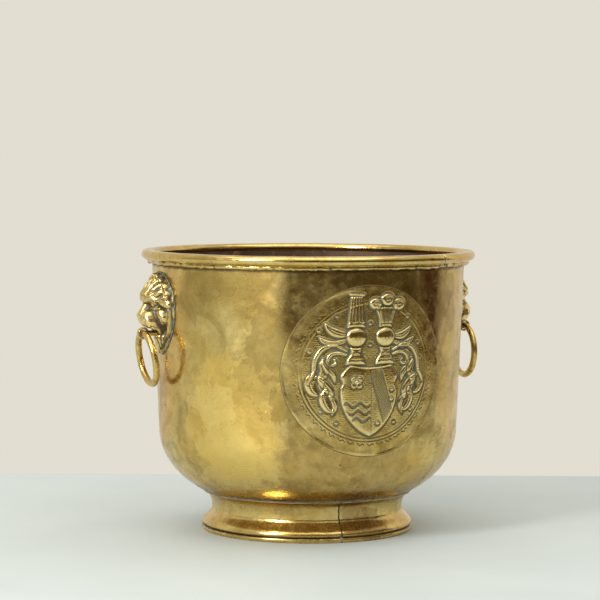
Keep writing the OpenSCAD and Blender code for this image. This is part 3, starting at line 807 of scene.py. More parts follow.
def draw_shield(art):
    """A pointed shield with eared shoulders, a middle line, a hatched band and plain ornaments."""
    u, v = art.u, art.v
    outline = np.vstack([
        curve([(-15, 5.2), (-7.5, 3.4), (0.8, 2.8), (9, 3.4), (17, 5.0)], 6)[:-1],
        curve([(17, 5), (20.6, -0.6), (22.4, -4.2), (20.8, -8.5), (22.3, -14), (21, -24), (16, -34.5),
               (8, -43), (0, -47.6)], 6)[:-1],
        curve([(0, -47.6), (-8, -43), (-16, -34.5), (-21, -24), (-22.3, -14), (-20.8, -8.5),
               (-22.4, -4.2), (-20.4, -0.4), (-15, 5.2)], 6)[:-1]])
    shield = d_polygon(u, v, outline)
    art.raised(shield, 1.25, bevel=2.2, dome=0.35)
    inside = shield < -1.4
    art.cut(only(inside, np.abs(u - 0.4 + 0.02 * v)), 0.28, 0.32, 0.8)
    band = np.abs((u - 9.5) * 0.955 + (v + 17) * 0.30)
    right = inside & (u > 0.9 - 0.02 * v)
    lie = smooth(band, 4.9, 4.4) * right
    art.cut(only(right, np.abs(band - 4.7)), 0.26, 0.30, 0.8)
    hatch = np.abs((u * 0.80 + v * 0.60) % 1.35 - 0.675)
    art.h -= 0.16 * lie * (hatch < 0.38)
    art.grey = lie * (0.75 + 0.25 * (hatch < 0.34))
    for cu, cv in ((17.2, -13.5), (17.0, -20.5), (6.2, -37.5)):
        dot = only(right, d_circle(u, v, cu, cv, 1.5))
        art.raised(dot, 0.5, 1.0, outline=0.8)
    for k in range(4):                       # four round petals about a seed
        turn = math.radians(45 + 90 * k)
        petal = d_circle(u, v, -10.5 + 2.7 * math.cos(turn), -8 + 2.7 * math.sin(turn), 2.3)
        art.raised(petal, 0.55, 1.3, outline=0.7)
    art.raised(d_circle(u, v, -10.5, -8, 1.3), 0.95, 1.0, outline=0.7)
    left = inside & (u < -0.4 - 0.02 * v)
    for k in range(3):                       # three wavy bars in the point
        wave = np.abs(v + 24 + 5.4 * k - 1.5 * np.sin(u * 0.62 + 0.8 * k))
        art.cut(only(left, wave - 0.55), 0.4, 0.30, 0.6)


def draw_finial(art, middle, crest):
    """A round boss on a flared foot that stands on the shield, with a crest above it."""
    u, v = art.u - middle, art.v
    foot = np.vstack([curve([(-7.6, 4.6), (-6.6, 8.6), (-3.9, 13), (-4.2, 17.4)], 5),
                      curve([(4.2, 17.4), (3.9, 13), (6.6, 8.6), (7.6, 4.6)], 5)])
    art.raised(d_polygon(u, v, foot), 1.5, 2.6, dome=0.4)
    for k in (8.2, 11.6):
        art.cut(only(np.abs(u) < 6.6, np.abs(v - k - 0.035 * u ** 2)), 0.3, 0.25, 0.4)
    crest(art, middle)
    boss = d_circle(u, v, 0, 24.6, 7.4, 7.0)
    art.raised(boss, 2.3, 6.2, dome=0.5, base=np.zeros_like(u))
    for k in (-1, 0, 1):
        rib = only(boss < -1.2, np.abs(u - k * 2.9 - 0.022 * k * (v - 24.6) ** 2 * -1))
        art.cut(only(v < 24, rib), 0.35, 0.22, 0.25)


def fluted_crest(art, middle):
    """A tapered, fluted cup turned upside down, with a flat rim on top."""
    u, v = art.u - middle, art.v
    cup = np.array([(-6.8, 31.5), (-4.4, 54.4), (4.4, 54.4), (6.8, 31.5)])
    d = d_polygon(u, v, cup)
    art.raised(d, 1.3, 1.8, dome=0.3)
    reach = 4.4 + (54.4 - v) * 0.105
    for k in (-0.62, -0.22, 0.20, 0.60):
        art.cut(only((d < -0.5) & (v > 35.5), np.abs(u - k * reach)), 0.42, 0.42, 0.5)
    art.cut(only(d < 0, np.abs(v - 35.0)), 0.3, 0.3, 0.6)
    lip = d_stroke(u, v, [(-5.1, 55.4), (5.1, 55.0)], 0.9)
    art.raised(lip, 1.5, 0.9)


def leafy_crest(art, middle):
    """A fan of three rolled leaves on a flared stem."""
    u, v = art.u - middle, art.v
    stem = np.vstack([curve([(-5.0, 31.5), (-5.6, 38), (-8.6, 46.5)], 6),
                      curve([(9.6, 46), (6.2, 38.5), (5.2, 31.5)], 6)])
    d = d_polygon(u, v, stem)
    art.raised(d, 1.1, 1.9, dome=0.3)
    for k in (-0.55, -0.18, 0.22, 0.6):
        line = [(k * 6.5, 33), (k * 8.5, 40), (k * 12.5, 47)]
        art.cut(d_stroke(u, v, curve(line, 6), 0.05), 0.35, 0.3, 0.45)
    art.cut(only(d < 0, np.abs(v - 34.6)), 0.3, 0.3, 0.5)
    for cu, cv, r in ((-8.2, 48.6, 4.9), (10.6, 48.0, 5.1), (1.2, 51.4, 5.4)):
        lobe = d_circle(u, v, cu, cv, r, r * 0.86)
        art.raised(lobe, 1.5, 2.6, dome=0.3)
        roll = [(cu + 0.62 * r * math.cos(a) * (1 - a / 9), cv + 0.5 * r * math.sin(a) * (1 - a / 9))
                for a in np.linspace(0.4, 5.4, 12)]
        art.cut(d_stroke(u, v, roll, 0.06), 0.36, 0.36, 0.6)


def draw_leaves(art, flip):
    """Leafy scrolls that hang beside the shield; flip is -1 for the left side."""
    def side(points):
        return side_by_side(points, flip)

    if flip < 0:
        art.leaf(side([(18, 26), (25, 27.5), (30, 30), (34.5, 35)]), 3.2)
        art.leaf(side([(18, 23), (27, 20), (34, 21.5), (38.5, 25)]), 2.2)
    else:
        art.leaf(side([(19, 25), (25, 25), (30, 27.5), (34, 32)]), 2.9)
        art.leaf(side([(19, 21), (27, 18.5), (33, 21), (37.5, 24)]), 2.4)
    art.stroke(side([(18, 15), (26, 18.5), (35, 16.5), (40.5, 9), (41.8, 0), (45.5, -8.5)]),
               [0.9, 1.3, 1.7, 1.8, 1.6, 0.7], 1.0)
    art.stroke(side([(18, 12), (25, 13.5), (30, 11.5), (31.5, 7.5), (29, 4.6), (25.8, 6.0), (26.6, 8.6)]),
               [0.8, 1.2, 1.5, 1.4, 1.2, 1.0, 0.7], 0.9)
    art.leaf(side([(41.5, -2), (44, -8), (42, -14), (37.2, -17.5)]), 4.1, 1.3)
    art.leaf(side([(36, 6), (34, 0), (36.5, -7), (35.5, -15)]), 3.2, 1.2)
    art.leaf(side([(35, 8), (31.5, 2), (27.5, -2), (26, -8)]), 2.7, 1.1)
    art.leaf(side([(39, -4), (33.5, -9), (29, -15), (29.5, -22)]), 3.0, 1.2)
    art.leaf(side([(33, -14), (34, -20), (31, -26.5), (26, -29.5)]), 3.5, 1.3)
    art.leaf(side([(30, -18), (26.5, -22), (26, -27), (28, -32)]), 2.2, 1.0)


def draw_rosettes(art):
    """Small ring-and-dot punches in the ground."""
    spots = [(-25.5, 40), (-38.5, 29.5), (-44.8, 14.5), (-0.6, 34.5), (-0.3, 19.3), (30.8, 38.5),
             (41.5, 19), (43.8, 8), (-24.5, -37), (20.5, -37.5), (-36, -28.5), (35.5, -29)]
    for cu, cv in spots:
        far = np.hypot(art.u - cu, art.v - cv)
        art.h += 0.30 * np.exp(-(far / 0.75) ** 2) - 0.26 * np.exp(-((far - 1.75) / 0.38) ** 2)
        art.line = np.maximum(art.line, 0.85 * np.exp(-((far - 1.75) / 0.42) ** 2))


def stipple(u, v, step, seed):
    """Scattered punch dots, one in each cell of a grid, as 0 to 1."""
    rng = np.random.default_rng(seed)
    cu, cv = np.floor(u / step).astype(int), np.floor(v / step).astype(int)
    shift = rng.uniform(0.25, 0.75, (2, 256, 256))
    du = (u / step - cu - shift[0][cu % 256, cv % 256]) * step
    dv = (v / step - cv - shift[1][cu % 256, cv % 256]) * step
    return np.exp(-(du ** 2 + dv ** 2) / 0.32 ** 2)


def plaque_relief(u, v, rho):
    """Height above the plaque's sheet, and the outline field, over the round plaque."""
    far = rho * PLAQUE_R
    ground = np.where(far < FIELD_R, -0.10, 0.0) + 0.10 * smooth(far, 57.5, PLAQUE_R - 0.5)
    art = Relief(u, v, ground)
    field = smooth(far, 48.2, 47)
    dots = stipple(u, v, 1.35, 5) * field
    art.h -= 0.10 * dots
    art.line = np.maximum(art.line, 0.45 * dots)
    kept = 0.25 + 0.75 * smooth(v, 12, -22)       # the border is rubbed down towards the top
    for r, depth in ((FIELD_R, 0.30), (50.9, 0.26)):
        art.cut(np.abs(far - r), 0.30, depth * kept, 0.62 * kept)
    angle = np.arctan2(v, u)
    zigzag = 53.3 + 0.85 * np.arcsin(np.sin(angle * 88)) * 2 / math.pi
    dashes = smooth(np.sin(angle * 44 + 0.4), -0.9, -0.5)
    art.cut(only(dashes > 0.4, np.abs(far - zigzag)), 0.30, 0.26 * kept, 0.85 * kept)
    for flip in (-1, 1):
        draw_leaves(art, flip)
    draw_finial(art, -11.2, fluted_crest)
    draw_finial(art, 11.6, leafy_crest)
    draw_shield(art)
    draw_rosettes(art)
    return art.h, art.line, art.grey


def disc_grid(count):
    """A square grid pulled out to the unit disc, with no corner left in it."""
    x, y = np.meshgrid(np.linspace(-1, 1, count), np.linspace(-1, 1, count), indexing="ij")
    return x * np.sqrt(1 - y ** 2 / 2), y * np.sqrt(1 - x ** 2 / 2)


def border_loop(rows, cols):
    """A grid's border points in order."""
    index = np.arange(rows * cols).reshape(rows, cols)
    return np.concatenate([index[0, :-1], index[:-1, -1], index[-1, :0:-1], index[:0:-1, 0]])


def build_plaque():
    count = 302
    x, y = disc_grid(count)
    rho = np.hypot(x, y)
    lateral, z = x * PLAQUE_R, PLAQUE_Z + y * PLAQUE_R
    base = wall_r(z)
    turn = PLAQUE_TURN + np.arcsin(lateral / base)
    arc_u = base * np.arcsin(lateral / base)
    relief, line, grey = plaque_relief(arc_u, y * PLAQUE_R, rho)
    flat = turned(base, z, turn)
    relief = relief + (0.10 * waves(flat, 42, 51) + 0.035 * waves(flat, 15, 52)) * smooth(rho, 1, 0.96)
    edge = np.sqrt(np.clip(1 - smooth(rho, 0.990, 1.0) ** 2 * 0.75, 0, 1))
    height = (PLAQUE_T + relief) * edge
    front = turned(base + height, z, turn).reshape(-1, 3)
    faces = grid_faces(count, count)
    loop = border_loop(count, count)
    rings = [1.0, 0.985, 0.8, 0.5, 0.2]
    back = []
    for share in rings:
        bx, by = x.ravel()[loop] * share, y.ravel()[loop] * share
        bz = PLAQUE_Z + by * PLAQUE_R
        back.append(turned(wall_r(bz) + 0.05, bz, PLAQUE_TURN + np.arcsin(bx * PLAQUE_R / wall_r(bz))))
    centre = turned(wall_r(PLAQUE_Z) + 0.05, PLAQUE_Z, PLAQUE_TURN)[None]
    points = np.vstack([front, *back, centre])
    previous = loop
    for i in range(len(rings)):
        this = len(front) + i * len(loop) + np.arange(len(loop))
        faces += np.stack([previous, np.roll(previous, -1), np.roll(this, -1), this], 1).tolist()
        previous = this
    middle = len(points) - 1
    faces += [[a, b, middle] for a, b in zip(previous.tolist(), np.roll(previous, -1).tolist())]
    # The hollow field: dirt and painted shade in the outlines and sunken places, the grey of the hatching,
    # and painted shade with dirt round the edge and on the back.
    deep = np.clip((blurred(height, 4) - height) / 0.35, 0, 1)
    hollow = np.clip(0.75 * line + 0.6 * deep + 0.42 * grey, 0, 1)
    green = np.clip(line * 0.95 + 0.35 * deep + 0.45 * grey, 0, 1)
    rest = np.full(len(points) - len(front), 0.6)
    # A dark ring at the very edge: painted shade and dirt.
    edge_dirt_and_shade = smooth(rho, 0.986, 0.993)
    # The worn field brightens proud spots: rubbed wear and a painted highlight.
    proud_wear_and_highlight = np.clip((height - blurred(height, 5) - 0.02) / 0.35, 0, 1) * (1 - edge_dirt_and_shade)
    fields = {"hollow": np.concatenate([np.maximum(hollow, edge_dirt_and_shade).ravel(), rest]),
              "green": np.concatenate([green.ravel(), rest * 0]),
              "worn": np.concatenate([proud_wear_and_highlight.ravel(), rest * 0])}
    add_piece("crest_relief", [(points, faces)], "root", ["crest_plaque"],
              PLAQUE_BRASS, fields)


# ---------- eyes, rings and their fixings ----------

def place(points, side):
    """Mirrors points made for the right-hand side to the side that is asked for."""
    return points * [1 if side == "right" else -1, 1, 1]


def build_eye(side):
    """A cast eye: a thick knuckle with a worn hole, on a shank that runs back through the wall."""
    centre = place(hinge[f"ring_{side}"], side)
    reach = eye_hi[0] - centre[0]
    hole = RING_WIRE_R + EYE_CLEARANCE
    mid, half = (reach + hole) / 2, (reach - hole) / 2
    rows, cols = 96, 28
    around_eye = np.linspace(0, FULL, rows, endpoint=False)[:, None]
    a = np.linspace(0, FULL, cols, endpoint=False)[None, :]
    swell = 1 + 0.05 * waves(np.stack([np.cos(around_eye[:, 0]), np.sin(around_eye[:, 0]),
                                       0 * around_eye[:, 0]], 1) * 4, 4, 61)[:, None]
    section_r = mid + np.sign(np.cos(a)) * np.abs(np.cos(a)) ** 0.8 * half
    section_y = np.sign(np.sin(a)) * np.abs(np.sin(a)) ** 0.75 * (eye_hi[1] - eye_lo[1]) / 2 * swell * 0.96
    points = np.stack([centre[0] + section_r * np.cos(around_eye), section_y + 0 * around_eye,
                       centre[2] + section_r * np.sin(around_eye)], -1)
    knuckle = (points.reshape(-1, 3), grid_faces(rows, cols, wrap_rows=True, wrap_cols=True))
    line = np.stack([np.linspace(nut_lo[0] - 0.9, centre[0] - hole - 0.7, 40), np.zeros(40),
                     np.full(40, centre[2])], 1)
    shank = tube(line, 2.05 - 0.5 * smooth(line[:, 0], nut_lo[0], nut_lo[0] - 0.9), 20, closed=False,
                 cap_ends=True)
    parts = [(place(p, side), f) for p, f in (knuckle, shank)]
    worn = np.zeros(sum(len(p) for p, _ in parts))
    add_piece(f"ring_eye_{side}_cast", parts, "root", [f"ring_eye_{side}"], RING_BRASS,
              {"hollow": worn, "green": worn})


def build_ring(side):
    """A drop ring bent from round wire: a little uneven, with its ends brazed."""
    eye = place(hinge[f"ring_{side}"], side)
    lean = RING_LEAN[side]
    joint_at, sides = 3.9, 24
    drop = np.linspace(0, FULL, 200, endpoint=False)
    down = np.array([-math.sin(lean), 0, -math.cos(lean)])
    middle = eye + down * RING_R
    line = middle + RING_R * (np.sin(drop)[:, None] * [0, 1, 0] - np.cos(drop)[:, None] * down)
    a = np.linspace(0, FULL, sides, endpoint=False)[None, :]
    wave = 0.035 * waves(line[:, None] + np.stack([np.cos(a), np.sin(a), 0 * a], -1) * 2.5, 9, 62)
    calm = smooth(np.abs((drop + math.pi) % FULL - math.pi), 0.1, 0.5)[:, None]
    joint = (0.10 * np.exp(-((drop - joint_at) / 0.04) ** 2)
             - 0.12 * np.exp(-((drop - joint_at) / 0.015) ** 2))
    radius = RING_WIRE_R - 0.06 + np.minimum((wave + joint[:, None]) * calm, 0.06)
    points, faces = tube(line, radius, sides)
    # Darkened where the ring runs through the eye: dirt and painted shade.
    eye_dirt_and_shade = np.exp(-(((drop + math.pi) % FULL - math.pi) / 0.25) ** 2)[:, None] * 0.45
    seam = np.exp(-((drop - joint_at) / 0.012) ** 2)[:, None]
    hollow = np.clip(eye_dirt_and_shade + seam + 0 * a, 0, 1)
    add_piece(f"drop_ring_{side}_wire", [(place(points, side), faces)], f"ring_{side}",
              [f"drop_ring_{side}"], RING_BRASS, {"hollow": hollow, "green": hollow * 0.5})


def lathe_x(line, x0, z0, sides):
    """Turns a line of (along, radius) points about an axis along X at height z0."""
    line = np.asarray(line, float)
    a = np.linspace(0, FULL, sides, endpoint=False)[None, :]
    points = np.stack([x0 + line[:, :1] + 0 * a, line[:, 1:] * np.cos(a), z0 + line[:, 1:] * np.sin(a)], -1)
    return points.reshape(-1, 3), grid_faces(len(line), sides, wrap_cols=True, wrap_rows=True)


def build_washer(side):
    r, hole, t = (washer_hi[1] - washer_lo[1]) / 2, 2.3, washer_hi[0] - washer_lo[0]
    section = np.vstack([arc((0.2, r - 0.2), 0.2, 180, 90, 4), arc((t - 0.2, r - 0.2), 0.2, 90, 0, 4),
                         [[t, hole + 0.1], [t - 0.1, hole], [0.1, hole], [0, hole + 0.1]]])
    points, faces = lathe_x(section, washer_lo[0], (washer_lo[2] + washer_hi[2]) / 2, 64)
    points = points + [[1, 0, 0]] * (0.04 * waves(points, 7, 64))[:, None]
    add_piece(f"washer_{side}_disc", [(place(points, side), faces)], "root", [f"washer_{side}"],
              FIXING_BRASS)


def build_nut(side):
    """A square nut with filed corners and a countersunk hole."""
    sides = 96
    half, t = (nut_hi[1] - nut_lo[1]) / 2, nut_hi[0] - nut_lo[0]
    a = np.linspace(0, FULL, sides, endpoint=False)[None, :]
    square = half / np.maximum(np.abs(np.cos(a)), np.abs(np.sin(a)))
    square = np.minimum(square, half * 1.30)
    rows = []
    for x, inset, hole in ((0.0, None, 2.15), (0.0, None, 2.7), (0.0, 0.75, None), (0.35, 0.12, None),
                           (0.7, 0.0, None), (t - 0.3, 0.0, None), (t, 0.25, None), (t, None, 2.4),
                           (t - 0.4, None, 2.12), (0.5, None, 2.12)):
        r = hole + 0 * a if inset is None else square - inset
        rows.append(np.concatenate([nut_lo[0] + x + 0 * a, r * np.cos(a),
                                    (nut_lo[2] + nut_hi[2]) / 2 + r * np.sin(a)], 0).T)
    points = np.vstack(rows)
    faces = grid_faces(len(rows), sides, wrap_rows=True, wrap_cols=True)
    add_piece(f"nut_{side}_square", [(place(points, side), faces)], "root", [f"nut_{side}"],
              FIXING_BRASS, sharp=30)


# ---------- lion masks ----------

MASK_R = (mask_hi[1] - mask_lo[1]) / 2
MASK_Z = mask_hi[2] - MASK_R                     # centre of the mask's round top
MASK_DROP = MASK_Z - mask_lo[2]
JOWL_R = (MASK_DROP ** 2 + MASK_R ** 2) / (2 * MASK_R)
MASK_EDGE = 1.5                                  # how far the mask's edge stands off the wall

# Forms of one half of the face, as (aside, height, reach, radius) along their middles. The nose, the
# middle lock and the chin lie on the middle line itself.
LOCKS = [
    [(0, 180.0, 15.0, 2.6), (0, 185.5, 11.9, 2.6), (0, 190.2, 6.6, 2.2), (0, 194.8, 3.6, 1.4)],
    [(4.2, 180.4, 15.2, 2.3), (5.2, 185.4, 12.0, 2.3), (6.8, 189.8, 7.4, 1.9), (7.4, 192.6, 4.8, 1.3)],
    [(8.0, 180.9, 13.4, 2.1), (9.8, 185.0, 9.8, 2.2), (11.2, 188.0, 7.0, 1.8)],
    [(10.8, 179.6, 11.4, 1.9), (13.4, 182.4, 8.6, 2.1), (15.8, 183.6, 6.4, 1.7)],
    [(12.6, 177.4, 9.6, 1.5), (15.4, 178.6, 7.2, 1.6), (17.6, 178.6, 5.4, 1.3)],
]
CURLS = [(3.6, 192.6), (10.6, 190.2), (16.2, 186.2), (19.3, 180.9)]
FACE = {
    "brow": [(1.2, 177.2, 15.4, 2.7), (5.0, 178.0, 15.1, 2.7), (9.4, 179.0, 12.8, 2.4),
             (12.8, 177.2, 9.8, 1.8)],
    "lid": [(4.2, 175.4, 13.2, 1.1), (7.8, 176.6, 12.6, 1.0), (11.2, 174.6, 9.2, 1.0)],
    "eye": [(7.9, 174.0, 11.2, 2.1), (8.2, 174.0, 11.1, 2.0)],
    "under_eye": [(4.8, 171.2, 11.2, 1.1), (8.4, 170.6, 10.2, 1.1), (11.6, 172.4, 8.0, 0.9)],
    "bridge": [(0, 176.0, 14.4, 2.6), (0, 172.0, 14.7, 3.1), (0, 168.0, 17.2, 3.8), (0, 164.8, 19.4, 4.4)],
    "wing": [(1.6, 165.6, 18.8, 2.3), (3.4, 164.2, 17.8, 2.1)],
    "muzzle": [(3.9, 163.4, 17.4, 6.2), (5.6, 161.2, 16.0, 5.4), (6.6, 159.2, 13.6, 3.8)],
    "cheek": [(11.8, 166.6, 8.6, 5.2), (13.2, 164.4, 8.0, 5.0), (12.6, 161.8, 6.6, 3.6)],
    "ear": [(15.6, 175.6, 7.6, 2.2), (18.2, 174.8, 6.6, 3.3), (20.4, 174.2, 5.2, 3.4)],
    "strip": [(20.0, 169.6, 3.4, 2.8), (19.4, 163.0, 3.5, 3.1), (17.6, 156.2, 3.3, 2.8),
              (15.2, 151.0, 2.8, 1.8)],
    "corner": [(9.6, 160.2, 8.2, 1.9), (8.8, 156.2, 7.0, 1.7), (7.4, 152.8, 5.4, 1.5)],
    "chin": [(0, 147.6, 6.4, 3.6), (0, 144.0, 5.2, 2.6), (0, 140.4, 3.4, 1.5), (0, 138.2, 2.4, 0.9)],
    "beard": [(4.6, 149.4, 5.6, 2.0), (4.6, 145.2, 4.4, 1.7), (3.6, 141.6, 3.0, 1.1)],
    "tuft": [(8.8, 149.8, 4.0, 1.6), (8.4, 146.6, 3.4, 1.4), (6.8, 143.6, 2.6, 0.9)],
    "whisker": [(13.0, 153.2, 3.2, 1.3), (12.2, 149.6, 2.9, 1.1), (10.6, 147.2, 2.5, 0.8)],
}
SKULL = [(137, 1.9, 5), (143, 2.4, 8), (150, 3.4, 9), (156, 6.4, 10), (160, 11.0, 10.5), (166, 12.0, 12),
         (172, 12.0, 12.5), (178, 12.8, 14.5), (183, 10.8, 15.5), (188, 6.8, 15), (193, 3.4, 11),
         (197, 1.6, 6)]


def mask_half(z):
    """Half of the mask's width at a height."""
    up = np.sqrt(np.maximum(MASK_R ** 2 - (z - MASK_Z) ** 2, 0))
    down = np.sqrt(np.maximum(JOWL_R ** 2 - (z - MASK_Z) ** 2, 0)) - (JOWL_R - MASK_R)
    return np.where(z > MASK_Z, up, np.maximum(down, 0))


def wall_x(y, z):
    """The bowl's outer face beside the X axis."""
    return np.sqrt(wall_r(z) ** 2 - y ** 2)


def strand(reach, aside, z, line, seam=None):
    """Lays a rounded form along a line over a field of reach; seam collects the lines between forms."""
    dense = curve(line, 8)
    for ca, cz, top, r in dense:
        d2 = (aside - ca) ** 2 + (z - cz) ** 2
        near = d2 < (r * 1.6) ** 2
        lift = top - r + np.sqrt(np.maximum(r * r - d2[near], 0)) - np.maximum(np.sqrt(d2[near]) - r, 0) * 4
        reach[near] = np.maximum(reach[near], lift)
    if seam is not None:
        widths = np.maximum(dense[:, 3], 0.1)
        d = d_stroke(aside, z, dense[:, :2], widths)
        seam[:] = np.where(d < -0.35, seam * 0.3, seam)
        seam[:] = np.maximum(seam, np.exp(-((d - 0.15) / 0.5) ** 2))


def mask_relief(y, z):
    """Reach of the lion's face from the wall, with its hollow and green fields."""
    aside = np.abs(y)
    half = mask_half(z)
    ramp = np.array(SKULL, float)
    top = np.interp(z, ramp[:, 0], ramp[:, 1])
    width = np.interp(z, ramp[:, 0], ramp[:, 2])
    skull = MASK_EDGE + np.maximum(top - MASK_EDGE, 0) * np.sqrt(np.maximum(1 - (aside / width) ** 2.4, 0))
    reach = np.maximum(skull, MASK_EDGE)
    seam = np.zeros_like(reach)
    socket = np.exp(-(((aside - 8.2) / 4.2) ** 2 + ((z - 173.4) / 3.4) ** 2) ** 1.6)
    reach -= 3.6 * socket
    jowl = np.exp(-(((aside - 10.6) / 3.8) ** 2 + ((z - 156.6) / 5.0) ** 2) ** 1.5)
    reach = reach * (1 - jowl) + np.minimum(reach, 2.0) * jowl
    mouth = np.exp(-((aside / 5.2) ** 2 + ((z - 152.6) / 3.6) ** 2) ** 2)
    reach = reach * (1 - mouth) + np.minimum(reach, 3.2) * mouth
    for line in LOCKS:
        strand(reach, aside, z, line, seam)
    for name, line in FACE.items():
        strand(reach, aside, z, line, None if name in ("wing", "bridge") else seam)
    for ca, cz in CURLS:                       # rolled leaf tips with a deep eye
        turn = np.linspace(0.3, 5.6, 12)
        ring = [(ca + 2.0 * math.cos(t), cz + 2.5 * math.sin(t), 5.4, 1.25) for t in turn]
        strand(reach, aside, z, ring, seam)
        eye = np.exp(-(((aside - ca) / 1.15) ** 2 + ((z - cz) / 1.6) ** 2) ** 1.5)
        reach -= np.maximum(reach - 1.2, 0) * 0.9 * eye
        seam[:] = np.maximum(seam, eye)
    for ca, cz, r, depth in ((2.5, 163.1, 0.95, 2.0), (8.4, 174.2, 0.6, 0.6), (4.6, 160.6, 0.4, 0.5),
                             (6.4, 162.4, 0.4, 0.5), (5.4, 164.6, 0.4, 0.4), (19.4, 174.8, 0.9, 0.6)):
        pit = np.exp(-((aside - ca) ** 2 + (z - cz) ** 2) / r ** 2)
        reach -= depth * pit
        seam[:] = np.maximum(seam, pit * 0.9)
    cleft = np.exp(-(aside / 0.5) ** 2) * smooth(z, 156.5, 158) * smooth(z, 164.2, 163)
    reach -= 1.3 * cleft
    spot = np.stack([aside, z, 0 * z], -1)
    comb = np.sin(aside * 5.2 - z * 1.6) * smooth(z, 178, 182) + np.sin(aside * 6) * smooth(z, 150, 147)
    reach += 0.14 * comb * smooth(reach, 2.2, 4) + 0.10 * waves(spot, 2.6, 71) + 0.12 * waves(spot, 7, 72)
    inset = np.minimum(half - aside, 30)
    rim = smooth(inset, 0.0, 1.6)
    thick = MASK_EDGE + 1.6 * smooth(z, 143, 137)
    reach = thick * (0.55 + 0.45 * smooth(inset, 0, 0.5)) * (1 - rim) + np.maximum(reach, thick) * rim
    flat = np.exp(-((inset - 1.0) / 0.6) ** 2) * 0.5
    reach = blurred(reach, 1)
    deep = np.clip((blurred(reach, 6) - reach) / 1.7, 0, 1)
    low = smooth(reach, 3.4, 1.6) * 0.55
    under_jowl = 0.9 * jowl * smooth(reach, 5, 2.4)
    # The hollow field: dirt and painted shade in the seams between forms, the deep and low places and under
    # the jowls.
    hollow = np.clip(0.62 * seam + 0.85 * deep + low * rim + flat * 0.3 + under_jowl, 0, 1)
    green = np.clip(0.65 * flat + 0.9 * deep * (1 - jowl) + 0.5 * low + 0.25 * seam, 0, 1)
    return np.maximum(reach, 0.6), hollow, green * (0.6 + 0.4 * np.sin(aside * 0.9 + z * 0.55))


def build_mask(side):
    rows, cols = 200, 150
    share = (1 - np.cos(np.linspace(0.045, math.pi - 0.045, rows))) / 2
    z = (mask_lo[2] + (mask_hi[2] - mask_lo[2]) * share)[:, None] + np.zeros(cols)
    y = np.sin(np.linspace(-1, 1, cols) * math.pi / 2 * 0.82) / math.sin(math.pi / 2 * 0.82) * mask_half(z)
    reach, hollow, green = mask_relief(y, z)
    limit = cad_box[1][0] / MM - 0.12 - wall_x(y, z)
    front = np.stack([wall_x(y, z) + np.minimum(reach, limit), y, z], -1).reshape(-1, 3)
    back = np.stack([wall_x(y, z) + 0.06, y, z], -1).reshape(-1, 3)
    count = rows * cols
    loop = border_loop(rows, cols)
    ahead = np.roll(loop, -1)
    faces = grid_faces(rows, cols) + [[i + count for i in f[::-1]] for f in grid_faces(rows, cols)]
    faces += np.stack([loop, ahead, ahead + count, loop + count], 1).tolist()
    none = np.zeros(count)
    # The worn field brightens proud spots: rubbed wear and a painted highlight.
    proud_wear_and_highlight = np.clip((reach - blurred(reach, 8) - 0.1) / 1.6, 0, 1) * (1 - hollow)
    fields = {"hollow": np.concatenate([hollow.ravel(), none + 0.6]),
              "green": np.concatenate([green.ravel(), none]),
              "worn": np.concatenate([proud_wear_and_highlight.ravel(), none])}
    add_piece(f"lion_mask_{side}_face", [(place(np.vstack([front, back]), side), faces)], "root",
              [f"lion_mask_{side}"], MASK_BRASS, fields, sharp=70)


def build_mask_solder(side):
    """An uneven bead of solder round the mask's edge."""
    grow = 0.45
    tip = math.acos((JOWL_R - MASK_R) / (JOWL_R + grow))
    top = np.radians(np.linspace(0, 180, 90))
    jowl = np.linspace(0, tip, 70)[1:]
    right_side = np.stack([MASK_R - JOWL_R + (JOWL_R + grow) * np.cos(jowl),
                           MASK_Z - (JOWL_R + grow) * np.sin(jowl)], 1)
    left_side = right_side[::-1][1:] * [-1, 1]
    arch = np.stack([(MASK_R + grow) * np.cos(top), MASK_Z + (MASK_R + grow) * np.sin(top)], 1)
    outline = along(np.vstack([arch, left_side[::-1], right_side[::-1][:-1]]), 0.45, closed=True)
    x = wall_x(outline[:, 0], outline[:, 1]) + 0.35
    line = np.stack([x, outline[:, 0], outline[:, 1]], 1)
    radius = 0.50 + 0.10 * waves(line, 3.2, 73) + 0.10 * waves(line, 9, 74)
    points, faces = tube(line, np.clip(radius, 0.22, 0.62), 10)
    add_piece(f"mask_solder_{side}_bead", [(place(points, side), faces)], "root",
              [f"mask_solder_{side}"], SOLDER)


build_bowl()
build_rim()
build_foot()
build_foot_solder()
build_seam_solder()
for node in ("rim_wire", "foot_wire"):
    frame["nodes"][node].data.materials.clear()
    frame["nodes"][node].data.materials.append(IRON)
build_plaque()
for side in ("left", "right"):
    build_mask(side)
    build_mask_solder(side)
    build_eye(side)
    build_ring(side)
    build_washer(side)
    build_nut(side)


# ---------- stage: table, light and camera ----------

VIEW_TURN = math.radians(-21.5)      # the camera looks at the pot from the front's left
VIEW_DISTANCE = 1.793
VIEW_HEIGHT = 0.288
VIEW_PITCH = math.radians(3.63)
VIEW_YAW = math.radians(-0.192)
VIEW_ROLL = math.radians(0.256)
LENS = 141.2
TABLE_BACK = -0.288                  # back edge, in metres from the pot's axis towards the camera
DARK_NEAR, DARK_FAR, DARK_HIGH = 0.8, 3.4, 1.5     # reach and height of the dark room, in metres

toward = Vector((math.sin(VIEW_TURN), -math.cos(VIEW_TURN), 0))     # from the pot to the camera
right = Vector((math.cos(VIEW_TURN), math.sin(VIEW_TURN), 0))


def on_stage(ahead, aside, z):
    """A point in metres, measured from the pot towards the camera and to the picture's right."""
    return toward * ahead + right * aside + Vector((0, 0, z))


